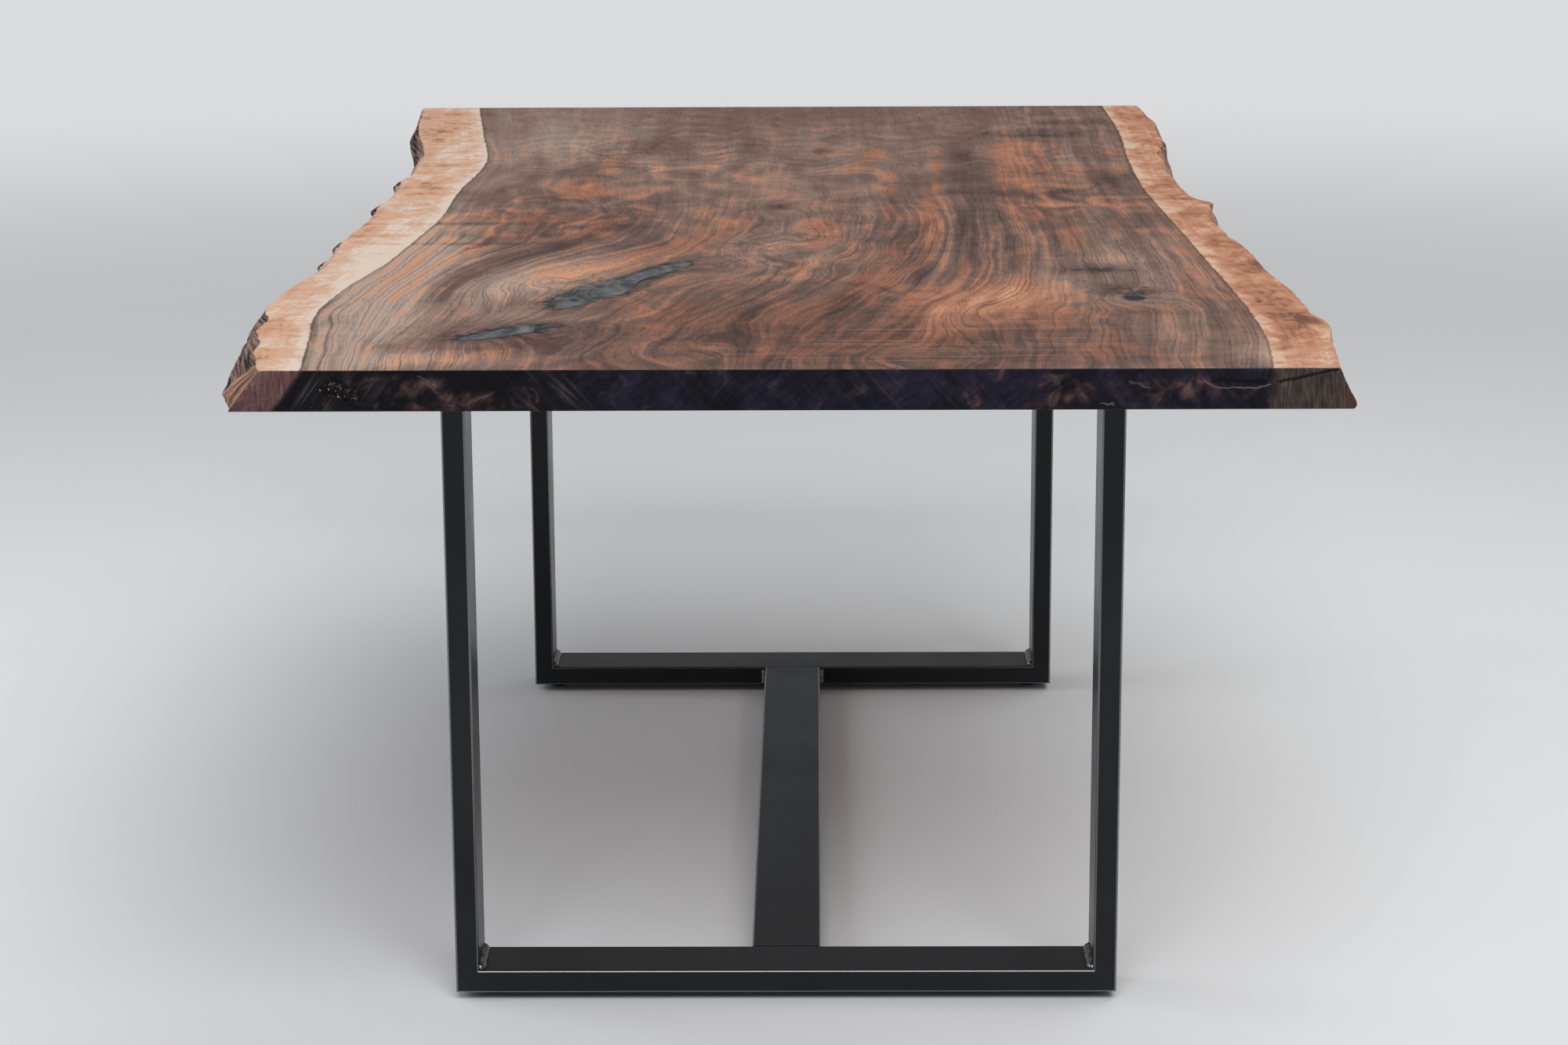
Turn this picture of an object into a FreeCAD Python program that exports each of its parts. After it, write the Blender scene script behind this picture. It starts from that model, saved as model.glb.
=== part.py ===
import FreeCAD, Part
import math
import os

import Sketcher

# Dining table: one walnut slab with two natural edges on a welded base of rectangular steel tube.
# The origin is on the floor under the middle of the slab. X runs across the table, Y along its length
# with the front end at -Y, and Z points up. Lengths are millimetres and angles are degrees.

SIZES = {
    "table_height": 762.0,
    "slab_length": 1870.0,
    "slab_width": 1113.0,
    "slab_thickness": 40.0,
    "edge_knee_height": 12.0,
    # filled voids of the slab
    "fill_depth": 14.0,
    "long_fill_length": 262.0,
    "long_fill_width": 38.0,
    "long_fill_from_left": 381.5,
    "long_fill_from_front": 455.0,
    "long_fill_angle": 61.0,
    "short_fill_length": 98.0,
    "short_fill_width": 30.0,
    "short_fill_from_left": 283.5,
    "short_fill_from_front": 190.0,
    "short_fill_angle": 31.0,
    "end_fill_width": 34.0,
    "end_fill_height": 22.0,
    "end_fill_from_left": 131.5,
    "end_fill_drop": 20.0,
    # frames and stretcher
    "frame_width": 715.0,
    "frame_pitch": 1170.0,
    "tube_face": 25.4,
    "tube_depth": 76.2,
    "tube_wall": 2.5,
    "tube_corner_radius": 3.0,
    "weld_leg": 5.0,
    # mounting plates and their bolts
    "plate_thickness": 6.0,
    "bolt_end_inset": 87.5,
    "bolt_radius": 4.0,
    "bolt_grip": 24.0,
    "bolt_head_flats": 13.0,
    "bolt_head_height": 5.3,
    "bolt_hole_clearance": 0.5,
    "slot_travel": 8.0,
    "washer_radius": 12.0,
    "washer_thickness": 2.0,
    "insert_wall": 2.5,
    "insert_length": 18.0,
    "insert_clearance": 0.1,
    "socket_spare_depth": 2.0,
    # levelling feet
    "foot_inset": 30.5,
    "pad_height": 9.0,
    "pad_rim_radius": 16.0,
    "pad_sole_radius": 13.0,
    "pad_bevel_height": 4.0,
    "pad_sole_thickness": 3.0,
    "stud_radius": 5.0,
    "stud_end_clearance": 1.0,
    "collar_radius": 7.2,
    "collar_height": 2.8,
    "swivel_clearance": 0.3,
    "thread_clearance": 0.05,
    "stud_hole_clearance": 0.6,
    "foot_nut_flats": 17.0,
    "foot_nut_height": 8.0,
}

BOLTS_PER_PLATE = 5

# Natural edges, front to rear. Each row is a place along the half length, then how far the edge stands
# out at the top, at the knee and at the underside, all as shares of the slab's half length and half width.
LEFT_EDGE_SHARES = (
    (-1.000, 0.892, 0.974, 0.949),
    (-0.925, 0.912, 0.976, 0.953),
    (-0.830, 0.933, 0.987, 0.964),
    (-0.740, 0.946, 0.994, 0.973),
    (-0.640, 0.960, 1.000, 0.978),
    (-0.530, 0.944, 0.996, 0.976),
    (-0.370, 0.904, 0.951, 0.933),
    (-0.210, 0.908, 0.942, 0.924),
    (-0.050, 0.885, 0.924, 0.906),
    (0.110, 0.876, 0.913, 0.895),
    (0.270, 0.867, 0.904, 0.886),
    (0.430, 0.861, 0.897, 0.879),
    (0.560, 0.874, 0.904, 0.888),
    (0.690, 0.908, 0.933, 0.915),
    (0.850, 0.937, 0.960, 0.942),
    (1.000, 0.956, 0.976, 0.958),
)
RIGHT_EDGE_SHARES = (
    (-1.000, 0.959, 0.986, 0.977),
    (-0.910, 0.970, 0.991, 0.981),
    (-0.820, 0.981, 0.997, 0.986),
    (-0.755, 0.991, 1.000, 0.990),
    (-0.690, 0.977, 0.993, 0.982),
    (-0.580, 0.968, 0.988, 0.977),
    (-0.430, 0.943, 0.968, 0.956),
    (-0.270, 0.927, 0.952, 0.941),
    (-0.120, 0.903, 0.932, 0.920),
    (-0.030, 0.898, 0.927, 0.914),
    (0.045, 0.920, 0.941, 0.929),
    (0.110, 0.889, 0.918, 0.907),
    (0.220, 0.876, 0.907, 0.894),
    (0.370, 0.866, 0.896, 0.884),
    (0.540, 0.885, 0.914, 0.902),
    (0.720, 0.903, 0.930, 0.918),
    (0.815, 0.912, 0.939, 0.927),
    (0.905, 0.900, 0.927, 0.914),
    (1.000, 0.893, 0.921, 0.909),
)

# Outlines of the filled voids, as shares of each void's length and width about its middle.
LONG_FILL_SHARES = (
    (-0.50, -0.05), (-0.44, -0.32), (-0.24, -0.50), (0.02, -0.44), (0.28, -0.26),
    (0.50, 0.04), (0.30, 0.24), (0.06, 0.40), (-0.20, 0.50), (-0.42, 0.34),
)
SHORT_FILL_SHARES = (
    (-0.50, -0.10), (-0.30, -0.42), (0.02, -0.50), (0.30, -0.30), (0.50, 0.10),
    (0.24, 0.46), (-0.06, 0.50), (-0.34, 0.28),
)
END_FILL_SHARES = (
    (-0.50, 0.05), (-0.28, -0.42), (0.10, -0.50), (0.42, -0.30), (0.50, 0.12), (0.14, 0.50), (-0.26, 0.44),
)

# Heights and places that several pieces share.
SLAB_LEFT = "-sizes.slab_width / 2"
SLAB_FRONT = "-sizes.slab_length / 2"
SLAB_UNDERSIDE = "(sizes.table_height - sizes.slab_thickness)"
PLATE_UNDERSIDE = f"({SLAB_UNDERSIDE} - sizes.plate_thickness)"
RAIL_MIDDLE = "(sizes.pad_height + sizes.tube_face / 2)"
RAIL_TOP = "(sizes.pad_height + sizes.tube_face)"
RAIL_FLOOR = "(sizes.pad_height + sizes.tube_wall)"
FRAME_Y = "(sizes.frame_pitch / 2)"
UPRIGHT_X = "(sizes.frame_width / 2 - sizes.tube_face / 2)"
INNER_CORNER_X = "(sizes.frame_width / 2 - sizes.tube_face)"
FOOT_X = "(sizes.frame_width / 2 - sizes.foot_inset)"
WELD_RUN = "(sizes.tube_depth - 2 * sizes.tube_corner_radius)"
BOLT_PITCH = f"((sizes.frame_width - 2 * sizes.bolt_end_inset) / {BOLTS_PER_PLATE - 1})"
BOLT_HOLE_RADIUS = "(sizes.bolt_radius + sizes.bolt_hole_clearance)"
INSERT_RADIUS = "(sizes.bolt_radius + sizes.insert_clearance + sizes.insert_wall)"
HEXAGON_RADIUS_SHARE = 1 / math.sqrt(3)
ENDS = {"front": "-", "rear": ""}
SIDES = {"left": "-", "right": ""}
HALF_TURN = FreeCAD.Rotation(FreeCAD.Vector(0, 0, 1), 180)

doc = FreeCAD.newDocument("live_edge_table")
sheet = doc.addObject("Spreadsheet::Sheet", "sizes")
for row, (alias, value) in enumerate(SIZES.items(), start=1):
    sheet.set(f"A{row}", alias)
    sheet.set(f"B{row}", str(value))
    sheet.setAlias(f"B{row}", alias)
doc.recompute()

sub_parts = []


def size(alias):
    """A driving dimension, read from the sheet."""
    return float(sheet.get(alias))


def bind(thing, formulas):
    """Tie properties of an object to the sheet."""
    for name, formula in formulas.items():
        thing.setExpression(name, formula)
    return thing


def place(thing, x="0", y="0", z="0", turn=None):
    """Put an object at a place worked out from the sheet."""
    if turn is not None:
        thing.Placement.Rotation = turn
    return bind(thing, {"Placement.Base.x": x, "Placement.Base.y": y, "Placement.Base.z": z})


def keep(thing, label):
    """Name a finished sub-part."""
    thing.Label = label
    sub_parts.append(thing)
    return thing


def sketch_on(body, role, name):
    """A sketch on one of the body's own origin planes."""
    sketch = body.newObject("Sketcher::SketchObject", name)
    origin_plane = next(plane for plane in body.Origin.OriginFeatures if plane.Role == role)
    sketch.AttachmentSupport = [(origin_plane, "")]
    sketch.MapMode = "FlatFace"
    return sketch


def dimension(sketch, name, constraint, formula):
    """Add a driving dimension to a sketch."""
    sketch.renameConstraint(sketch.addConstraint(constraint), name)
    sketch.setExpression(f"Constraints.{name}", formula)


def polygon(sketch, corners):
    """A closed outline whose corners are tied to the sheet. It is drawn as a unit polygon and then driven."""
    first = sketch.GeometryCount
    count = len(corners)
    angles = [math.tau * i / count for i in range(count)]
    start = [FreeCAD.Vector(math.cos(angle), math.sin(angle)) for angle in angles]
    for i in range(count):
        sketch.addGeometry(Part.LineSegment(start[i], start[(i + 1) % count]), False)
    for i in range(count):
        sketch.addConstraint(Sketcher.Constraint("Coincident", first + i, 2, first + (i + 1) % count, 1))
    for i, (across, along) in enumerate(corners):
        line = first + i
        across_rule = Sketcher.Constraint("DistanceX", -1, 1, line, 1, start[i].x)
        along_rule = Sketcher.Constraint("DistanceY", -1, 1, line, 1, start[i].y)
        dimension(sketch, f"across{line}", across_rule, across)
        dimension(sketch, f"along{line}", along_rule, along)


def rectangle(sketch, width, height):
    """A rectangle about the sketch's origin."""
    quarters = ((-1, -1), (1, -1), (1, 1), (-1, 1))
    polygon(sketch, [(f"{i} * ({width}) / 2", f"{j} * ({height}) / 2") for i, j in quarters])


def circle(sketch, across, radius):
    """A circle on the sketch's own horizontal axis."""
    index = sketch.addGeometry(Part.Circle(FreeCAD.Vector(), FreeCAD.Vector(0, 0, 1), 1), False)
    sketch.addConstraint(Sketcher.Constraint("PointOnObject", index, 3, -1))
    dimension(sketch, f"centre{index}", Sketcher.Constraint("DistanceX", -1, 1, index, 3, 1), across)
    dimension(sketch, f"radius{index}", Sketcher.Constraint("Radius", index, 1), radius)


def slot(sketch, middle, travel, radius):
    """A round-ended slot along the sketch's own horizontal axis."""
    axis = FreeCAD.Vector(0, 0, 1)
    ends = [Part.Circle(FreeCAD.Vector(side, 0), axis, 1) for side in (1, -1)]
    right = sketch.addGeometry(Part.ArcOfCircle(ends[0], -math.pi / 2, math.pi / 2), False)
    left = sketch.addGeometry(Part.ArcOfCircle(ends[1], math.pi / 2, 3 * math.pi / 2), False)
    upper = sketch.addGeometry(Part.LineSegment(FreeCAD.Vector(1, 1), FreeCAD.Vector(-1, 1)), False)
    lower = sketch.addGeometry(Part.LineSegment(FreeCAD.Vector(-1, -1), FreeCAD.Vector(1, -1)), False)
    for meeting in ((right, 2, upper, 1), (left, 1, upper, 2), (left, 2, lower, 1), (right, 1, lower, 2)):
        sketch.addConstraint(Sketcher.Constraint("Tangent", *meeting))
    for arc in (right, left):
        sketch.addConstraint(Sketcher.Constraint("PointOnObject", arc, 3, -1))
    sketch.addConstraint(Sketcher.Constraint("Horizontal", upper))
    right_rule = Sketcher.Constraint("DistanceX", -1, 1, right, 3, 1)
    left_rule = Sketcher.Constraint("DistanceX", -1, 1, left, 3, -1)
    dimension(sketch, f"right{right}", right_rule, f"{middle} + {travel} / 2")
    dimension(sketch, f"left{left}", left_rule, f"{middle} - {travel} / 2")
    dimension(sketch, f"radius{right}", Sketcher.Constraint("Radius", right, 1), radius)


def pad(body, sketch, length, both_ways=False):
    """Extrude a sketch along its normal, or half each way."""
    feature = body.newObject("PartDesign::Pad", "run")
    feature.Profile = sketch
    feature.Midplane = both_ways
    return bind(feature, {"Length": length})


def cut_through(body, sketch, both_ways=True):
    """Cut a sketch right through the body, or only from its plane against its normal."""
    doc.recompute()
    before = body.Shape.Volume
    feature = body.newObject("PartDesign::Pocket", "cut")
    feature.Profile = sketch
    feature.Type = "ThroughAll"
    feature.Midplane = both_ways
    doc.recompute()
    if not body.Shape.Volume < before:
        raise RuntimeError(f"a cut in {body.Label} takes nothing away")


def revolve(body, profile):
    """Turn a half profile, drawn as radius and height, about the body's Z axis."""
    sketch = sketch_on(body, "XZ_Plane", "profile")
    polygon(sketch, profile)
    feature = body.newObject("PartDesign::Revolution", "turned")
    feature.Profile = sketch
    feature.ReferenceAxis = (sketch, ["V_Axis"])
    feature.Angle = 360


def round_long_edges(body, run, direction):
    """Round the four outer edges that run the length of a tube."""
    doc.recompute()
    reach = {}
    for index, edge in enumerate(run.Shape.Edges, start=1):
        ends = [vertex.Point for vertex in edge.Vertexes]
        if math.isclose(abs((ends[1] - ends[0]).normalize().dot(direction)), 1):
            reach[f"Edge{index}"] = ends[0].distanceToLine(FreeCAD.Vector(), direction)
    outermost = max(reach.values())
    rounded = body.newObject("PartDesign::Fillet", "rounded")
    rounded.Base = (run, [name for name, distance in reach.items() if math.isclose(distance, outermost)])
    bind(rounded, {"Radius": "sizes.tube_corner_radius"})


def tube(name, role, across, along, length, direction, both_ways):
    """A length of hollow rectangular tube with rounded outer edges."""
    body = doc.addObject("PartDesign::Body", name)
    section = sketch_on(body, role, "section")
    rectangle(section, across, along)
    rectangle(section, f"{across} - 2 * sizes.tube_wall", f"{along} - 2 * sizes.tube_wall")
    run = pad(body, section, length, both_ways)
    round_long_edges(body, run, direction)
    return body


def cylinder(name, radius, height):
    """A cylinder about Z, standing on its origin."""
    return bind(doc.addObject("Part::Cylinder", name), {"Radius": radius, "Height": height})


def hexagon(name, flats, height):
    """A hexagonal prism about Z, measured across its flats, standing on its origin."""
    prism = doc.addObject("Part::Prism", name)
    prism.Polygon = 6
    return bind(prism, {"Circumradius": f"{flats} * {HEXAGON_RADIUS_SHARE}", "Height": height})


def boolean(kind, name, base, tool):
    """The cut or fusion of two objects."""
    result = doc.addObject(f"Part::{kind}", name)
    result.Base = base
    result.Tool = tool
    return result


def group(name, things):
    """Separate solids that make one sub-part."""
    compound = doc.addObject("Part::Compound", name)
    compound.Links = things
    return compound


def edge_curve(shares, column, side):
    """One natural edge of the slab at one level, front to rear."""
    top = size("table_height")
    underside = top - size("slab_thickness")
    level = (top, underside + size("edge_knee_height"), underside)[column]
    half_width = side * size("slab_width") / 2
    half_length = size("slab_length") / 2
    points = [FreeCAD.Vector(row[1 + column] * half_width, row[0] * half_length, level) for row in shares]
    curve = Part.BSplineCurve()
    curve.interpolate(points)
    return curve.toShape(), points[0], points[-1]


def slab_outline(column):
    """The slab's outline at its top, knee or underside: two natural edges joined by two sawn ends."""
    right, right_front, right_rear = edge_curve(RIGHT_EDGE_SHARES, column, 1)
    left, left_front, left_rear = edge_curve(LEFT_EDGE_SHARES, column, -1)
    front = Part.LineSegment(left_front, right_front).toShape()
    rear = Part.LineSegment(right_rear, left_rear).toShape()
    return Part.Wire(Part.__sortEdges__([front, right, rear, left]))


def filled_void(name, shares, length, width):
    """The filling of one void, with its visible face on the XY plane and its depth below."""
    points = [FreeCAD.Vector(along * length, across * width) for along, across in shares]
    curve = Part.BSplineCurve()
    curve.interpolate(points, PeriodicFlag=True)
    face = Part.Face(Part.Wire(curve.toShape()))
    filling = doc.addObject("Part::Feature", name)
    filling.Shape = face.extrude(FreeCAD.Vector(0, 0, -size("fill_depth")))
    return filling


def make_fills():
    """The dark fillings of the voids in the slab's top and front end."""
    fills = []
    for name, shares in (("long", LONG_FILL_SHARES), ("short", SHORT_FILL_SHARES)):
        fill = filled_void("top_fill", shares, size(f"{name}_fill_length"), size(f"{name}_fill_width"))
        turn = FreeCAD.Rotation(FreeCAD.Vector(0, 0, 1), size(f"{name}_fill_angle"))
        fill_x = f"{SLAB_LEFT} + sizes.{name}_fill_from_left"
        fill_y = f"{SLAB_FRONT} + sizes.{name}_fill_from_front"
        place(fill, fill_x, fill_y, "sizes.table_height", turn)
        fills.append(keep(fill, f"{name}_void_fill"))
    end_fill = filled_void("end_fill", END_FILL_SHARES, size("end_fill_width"), size("end_fill_height"))
    facing_front = FreeCAD.Rotation(FreeCAD.Vector(1, 0, 0), 90)
    end_fill_x = f"{SLAB_LEFT} + sizes.end_fill_from_left"
    end_fill_z = "sizes.table_height - sizes.end_fill_drop"
    place(end_fill, end_fill_x, SLAB_FRONT, end_fill_z, facing_front)
    fills.append(keep(end_fill, "end_void_fill"))
    return fills


def bolt_places():
    """Where the bolts stand along a plate."""
    offsets = [i - (BOLTS_PER_PLATE - 1) / 2 for i in range(BOLTS_PER_PLATE)]
    return [f"({offset} * {BOLT_PITCH})" for offset in offsets]


def make_slab(fills):
    """The walnut slab, with room for the fillings and a socket for each threaded insert."""
    blank = doc.addObject("Part::Feature", "slab_blank")
    blank.Shape = Part.makeLoft([slab_outline(2), slab_outline(1), slab_outline(0)], True, True)
    sockets = []
    for sign in ENDS.values():
        for x in bolt_places():
            socket = cylinder("insert_socket", f"{INSERT_RADIUS} + sizes.insert_clearance",
                              "sizes.insert_length + sizes.socket_spare_depth")
            sockets.append(place(socket, x, f"{sign}{FRAME_Y}", SLAB_UNDERSIDE))
    keep(boolean("Cut", "slab", blank, group("slab_recesses", fills + sockets)), "walnut_slab")


def make_uprights(end, sign):
    """The two uprights of one frame, mitred at the foot."""
    up = FreeCAD.Vector(0, 0, 1)
    length = f"{PLATE_UNDERSIDE} - sizes.pad_height"
    for side, side_sign in SIDES.items():
        body = tube("upright", "XY_Plane", "sizes.tube_face", "sizes.tube_depth", length, up, False)
        mitre = sketch_on(body, "XZ_Plane", "mitre")
        half_face = "sizes.tube_face / 2"
        polygon(mitre, [(f"-{half_face}", "0"), (half_face, "0"), (half_face, "sizes.tube_face")])
        cut_through(body, mitre)
        turn = HALF_TURN if side == "right" else None
        place(body, f"{side_sign}{UPRIGHT_X}", f"{sign}{FRAME_Y}", "sizes.pad_height", turn)
        keep(body, f"{end}_{side}_upright")


def make_rail(end, sign):
    """The bottom rail of one frame, mitred at both ends and holed for the feet."""
    across = FreeCAD.Vector(1, 0, 0)
    body = tube("rail", "YZ_Plane", "sizes.tube_depth", "sizes.tube_face", "sizes.frame_width", across, True)
    mitres = sketch_on(body, "XZ_Plane", "mitres")
    half_face = "sizes.tube_face / 2"
    tip = "sizes.frame_width / 2"
    for side in (-1, 1):
        polygon(mitres, [
            (f"{side} * {tip}", f"-{half_face}"),
            (f"{side} * {tip}", half_face),
            (f"{side} * ({tip} - sizes.tube_face)", half_face),
        ])
    cut_through(body, mitres)
    holes = sketch_on(body, "XY_Plane", "foot_holes")
    for side_sign in SIDES.values():
        circle(holes, f"{side_sign}{FOOT_X}", "sizes.stud_radius + sizes.stud_hole_clearance")
    cut_through(body, holes, both_ways=False)
    place(body, "0", f"{sign}{FRAME_Y}", RAIL_MIDDLE)
    keep(body, f"{end}_bottom_rail")


def make_stretcher():
    """The stretcher, laid flat between the two bottom rails."""
    lengthwise = FreeCAD.Vector(0, 1, 0)
    length = "sizes.frame_pitch - sizes.tube_depth"
    body = tube("stretcher", "XZ_Plane", "sizes.tube_depth", "sizes.tube_face", length, lengthwise, True)
    place(body, z=RAIL_MIDDLE)
    keep(body, "stretcher")


def make_plate(end, sign):
    """The plate across the uprights' top ends, with slots that let the slab swell and shrink."""
    body = doc.addObject("PartDesign::Body", "plate")
    outline = sketch_on(body, "XY_Plane", "outline")
    rectangle(outline, "sizes.frame_width", "sizes.tube_depth")
    pad(body, outline, "sizes.plate_thickness")
    slots = sketch_on(body, "XY_Plane", "slots")
    for x in bolt_places():
        slot(slots, x, "sizes.slot_travel", BOLT_HOLE_RADIUS)
    cut_through(body, slots)
    place(body, "0", f"{sign}{FRAME_Y}", PLATE_UNDERSIDE)
    keep(body, f"{end}_mounting_plate")


def make_bolts(end, sign):
    """The bolts, washers and threaded inserts that hold the slab to one plate."""
    bolts, washers, inserts = [], [], []
    head_top = f"{PLATE_UNDERSIDE} - sizes.washer_thickness"
    for x in bolt_places():
        head = hexagon("bolt_head", "sizes.bolt_head_flats", "sizes.bolt_head_height")
        place(head, z="-sizes.bolt_head_height")
        shank = cylinder("bolt_shank", "sizes.bolt_radius", "sizes.bolt_grip")
        bolts.append(place(boolean("Fuse", "bolt", head, shank), x, f"{sign}{FRAME_Y}", head_top))
        disc = cylinder("washer_disc", "sizes.washer_radius", "sizes.washer_thickness")
        hole = cylinder("washer_hole", BOLT_HOLE_RADIUS, "sizes.washer_thickness")
        washers.append(place(boolean("Cut", "washer", disc, hole), x, f"{sign}{FRAME_Y}", head_top))
        sleeve = cylinder("insert_sleeve", INSERT_RADIUS, "sizes.insert_length")
        thread_radius = "sizes.bolt_radius + sizes.insert_clearance"
        thread = cylinder("insert_thread", thread_radius, "sizes.insert_length")
        insert = boolean("Cut", "insert", sleeve, thread)
        inserts.append(place(insert, x, f"{sign}{FRAME_Y}", SLAB_UNDERSIDE))
    keep(group("bolts", bolts), f"{end}_slab_bolts")
    keep(group("washers", washers), f"{end}_bolt_washers")
    keep(group("inserts", inserts), f"{end}_slab_inserts")


def bead(role, length, rise):
    """A weld bead with a triangular section, its corner on the body's origin."""
    body = doc.addObject("PartDesign::Body", "bead")
    section = sketch_on(body, role, "section")
    polygon(section, [("0", "0"), ("sizes.weld_leg", "0"), ("0", f"{rise}sizes.weld_leg")])
    pad(body, section, length, both_ways=True)
    return body


def make_frame_welds(end, sign):
    """The beads in the lower corners of one frame, and under its mounting plate."""
    for label, height, rise in (("corner", RAIL_TOP, ""), ("plate", PLATE_UNDERSIDE, "-")):
        beads = []
        for side, side_sign in SIDES.items():
            turn = HALF_TURN if side == "right" else None
            run = bead("XZ_Plane", WELD_RUN, rise)
            beads.append(place(run, f"{side_sign}{INNER_CORNER_X}", f"{sign}{FRAME_Y}", height, turn))
        keep(group("beads", beads), f"{end}_{label}_welds")


def make_stretcher_welds():
    """The upright beads where the stretcher's sides meet the rails."""
    run = "sizes.tube_face - 2 * sizes.tube_corner_radius"
    side_x = "(sizes.tube_depth / 2)"
    rail_y = "(sizes.frame_pitch / 2 - sizes.tube_depth / 2)"
    beads = []
    for quarter, (x_sign, y_sign) in enumerate((("", "-"), ("-", "-"), ("-", ""), ("", ""))):
        turn = FreeCAD.Rotation(FreeCAD.Vector(0, 0, 1), 90 * quarter)
        corner = bead("XY_Plane", run, "")
        beads.append(place(corner, f"{x_sign}{side_x}", f"{y_sign}{rail_y}", RAIL_MIDDLE, turn))
    keep(group("beads", beads), "stretcher_welds")


def make_foot_nuts(end, sign):
    """The nuts welded inside one rail, which the feet's studs run in."""
    nuts = []
    for side_sign in SIDES.values():
        block = hexagon("nut_block", "sizes.foot_nut_flats", "sizes.foot_nut_height")
        thread = cylinder("nut_thread", "sizes.stud_radius + sizes.thread_clearance", "sizes.foot_nut_height")
        nut = boolean("Cut", "nut", block, thread)
        nuts.append(place(nut, f"{side_sign}{FOOT_X}", f"{sign}{FRAME_Y}", RAIL_FLOOR))
    keep(group("nuts", nuts), f"{end}_foot_nuts")


def make_foot(end, sign, side, side_sign):
    """One levelling foot: a pad on the floor, and the stud that turns in it."""
    collar_room = "sizes.collar_radius + sizes.swivel_clearance"
    neck_room = "sizes.stud_radius + sizes.swivel_clearance"
    collar_top = "sizes.pad_sole_thickness + sizes.collar_height"
    foot_pad = doc.addObject("PartDesign::Body", "foot_pad")
    revolve(foot_pad, [
        ("0", "0"),
        ("sizes.pad_sole_radius", "0"),
        ("sizes.pad_rim_radius", "sizes.pad_bevel_height"),
        ("sizes.pad_rim_radius", "sizes.pad_height"),
        (neck_room, "sizes.pad_height"),
        (neck_room, f"{collar_top} + sizes.swivel_clearance"),
        (collar_room, f"{collar_top} + sizes.swivel_clearance"),
        (collar_room, "sizes.pad_sole_thickness"),
        ("0", "sizes.pad_sole_thickness"),
    ])
    stud = doc.addObject("PartDesign::Body", "foot_stud")
    stud_top = f"{RAIL_TOP} - sizes.tube_wall - sizes.stud_end_clearance"
    revolve(stud, [
        ("0", "sizes.pad_sole_thickness"),
        ("sizes.collar_radius", "sizes.pad_sole_thickness"),
        ("sizes.collar_radius", collar_top),
        ("sizes.stud_radius", collar_top),
        ("sizes.stud_radius", stud_top),
        ("0", stud_top),
    ])
    for body, label in ((foot_pad, "pad"), (stud, "stud")):
        place(body, f"{side_sign}{FOOT_X}", f"{sign}{FRAME_Y}")
        keep(body, f"{end}_{side}_foot_{label}")


make_slab(make_fills())
make_stretcher()
make_stretcher_welds()
for end, sign in ENDS.items():
    make_uprights(end, sign)
    make_rail(end, sign)
    make_plate(end, sign)
    make_bolts(end, sign)
    make_frame_welds(end, sign)
    make_foot_nuts(end, sign)
    for side, side_sign in SIDES.items():
        make_foot(end, sign, side, side_sign)

doc.recompute()
for thing in doc.Objects:
    if "Invalid" in thing.State or "Error" in thing.State:
        raise RuntimeError(f"{thing.Label} did not compute: {thing.State}")
for thing in sub_parts:
    if thing.Shape.isNull() or not thing.Shape.isValid():
        raise RuntimeError(f"{thing.Label} has no valid shape")

os.makedirs("parts", exist_ok=True)
for thing in sub_parts:
    thing.Shape.exportStep(os.path.join("parts", f"{thing.Label}.step"))
    print(f"{thing.Label}: {len(thing.Shape.Solids)} solids, {thing.Shape.Volume:.0f} mm3")
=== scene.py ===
"""The looks of a live edge dining table: a walnut slab with two natural edges on a welded steel base.

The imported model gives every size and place. The slab, its resin fills and the weld beads are modelled here,
and the steel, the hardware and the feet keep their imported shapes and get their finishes.
"""

import logging
import math
from dataclasses import dataclass
from enum import Enum
from typing import Sequence

import bpy
import numpy as np
from mathutils import Matrix, Vector, noise


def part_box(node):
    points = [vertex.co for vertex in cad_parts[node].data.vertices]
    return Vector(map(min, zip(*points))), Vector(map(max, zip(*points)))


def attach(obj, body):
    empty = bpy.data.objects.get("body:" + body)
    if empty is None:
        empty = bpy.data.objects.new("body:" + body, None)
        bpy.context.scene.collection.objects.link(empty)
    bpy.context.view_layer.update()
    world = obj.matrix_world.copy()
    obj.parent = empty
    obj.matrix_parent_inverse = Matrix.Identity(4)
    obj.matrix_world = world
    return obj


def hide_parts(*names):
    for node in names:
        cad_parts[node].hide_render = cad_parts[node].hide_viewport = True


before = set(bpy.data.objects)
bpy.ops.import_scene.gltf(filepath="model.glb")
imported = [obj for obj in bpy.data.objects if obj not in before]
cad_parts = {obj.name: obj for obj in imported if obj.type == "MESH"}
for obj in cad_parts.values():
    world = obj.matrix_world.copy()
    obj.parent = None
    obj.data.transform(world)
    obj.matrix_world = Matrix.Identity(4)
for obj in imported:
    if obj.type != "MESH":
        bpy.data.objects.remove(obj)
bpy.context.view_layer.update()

LOG = logging.getLogger("live_edge_table")
MM = 0.001
TABLE_BODY = "table"
NOWHERE = (0.0, 0.0, 0.0)
Colour = tuple[float, float, float, float]
Stops = tuple[tuple[float, Colour], ...]
Place = tuple[float, float]
Socket = bpy.types.NodeSocket


class Side(Enum):
    """A long side of the table, as seen from its front end."""

    LEFT = -1
    RIGHT = 1


class End(Enum):
    """A short end of the table."""

    FRONT = "front"
    REAR = "rear"


class Slot(Enum):
    """The record's material slots for the pieces that are modelled here."""

    WALNUT = "walnut"
    FILL = "void_fill"
    STEEL = "frame_steel"


class Plane(Enum):
    """The face of the slab that a void opens in."""

    TOP = "top"
    FRONT = "front"


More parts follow.
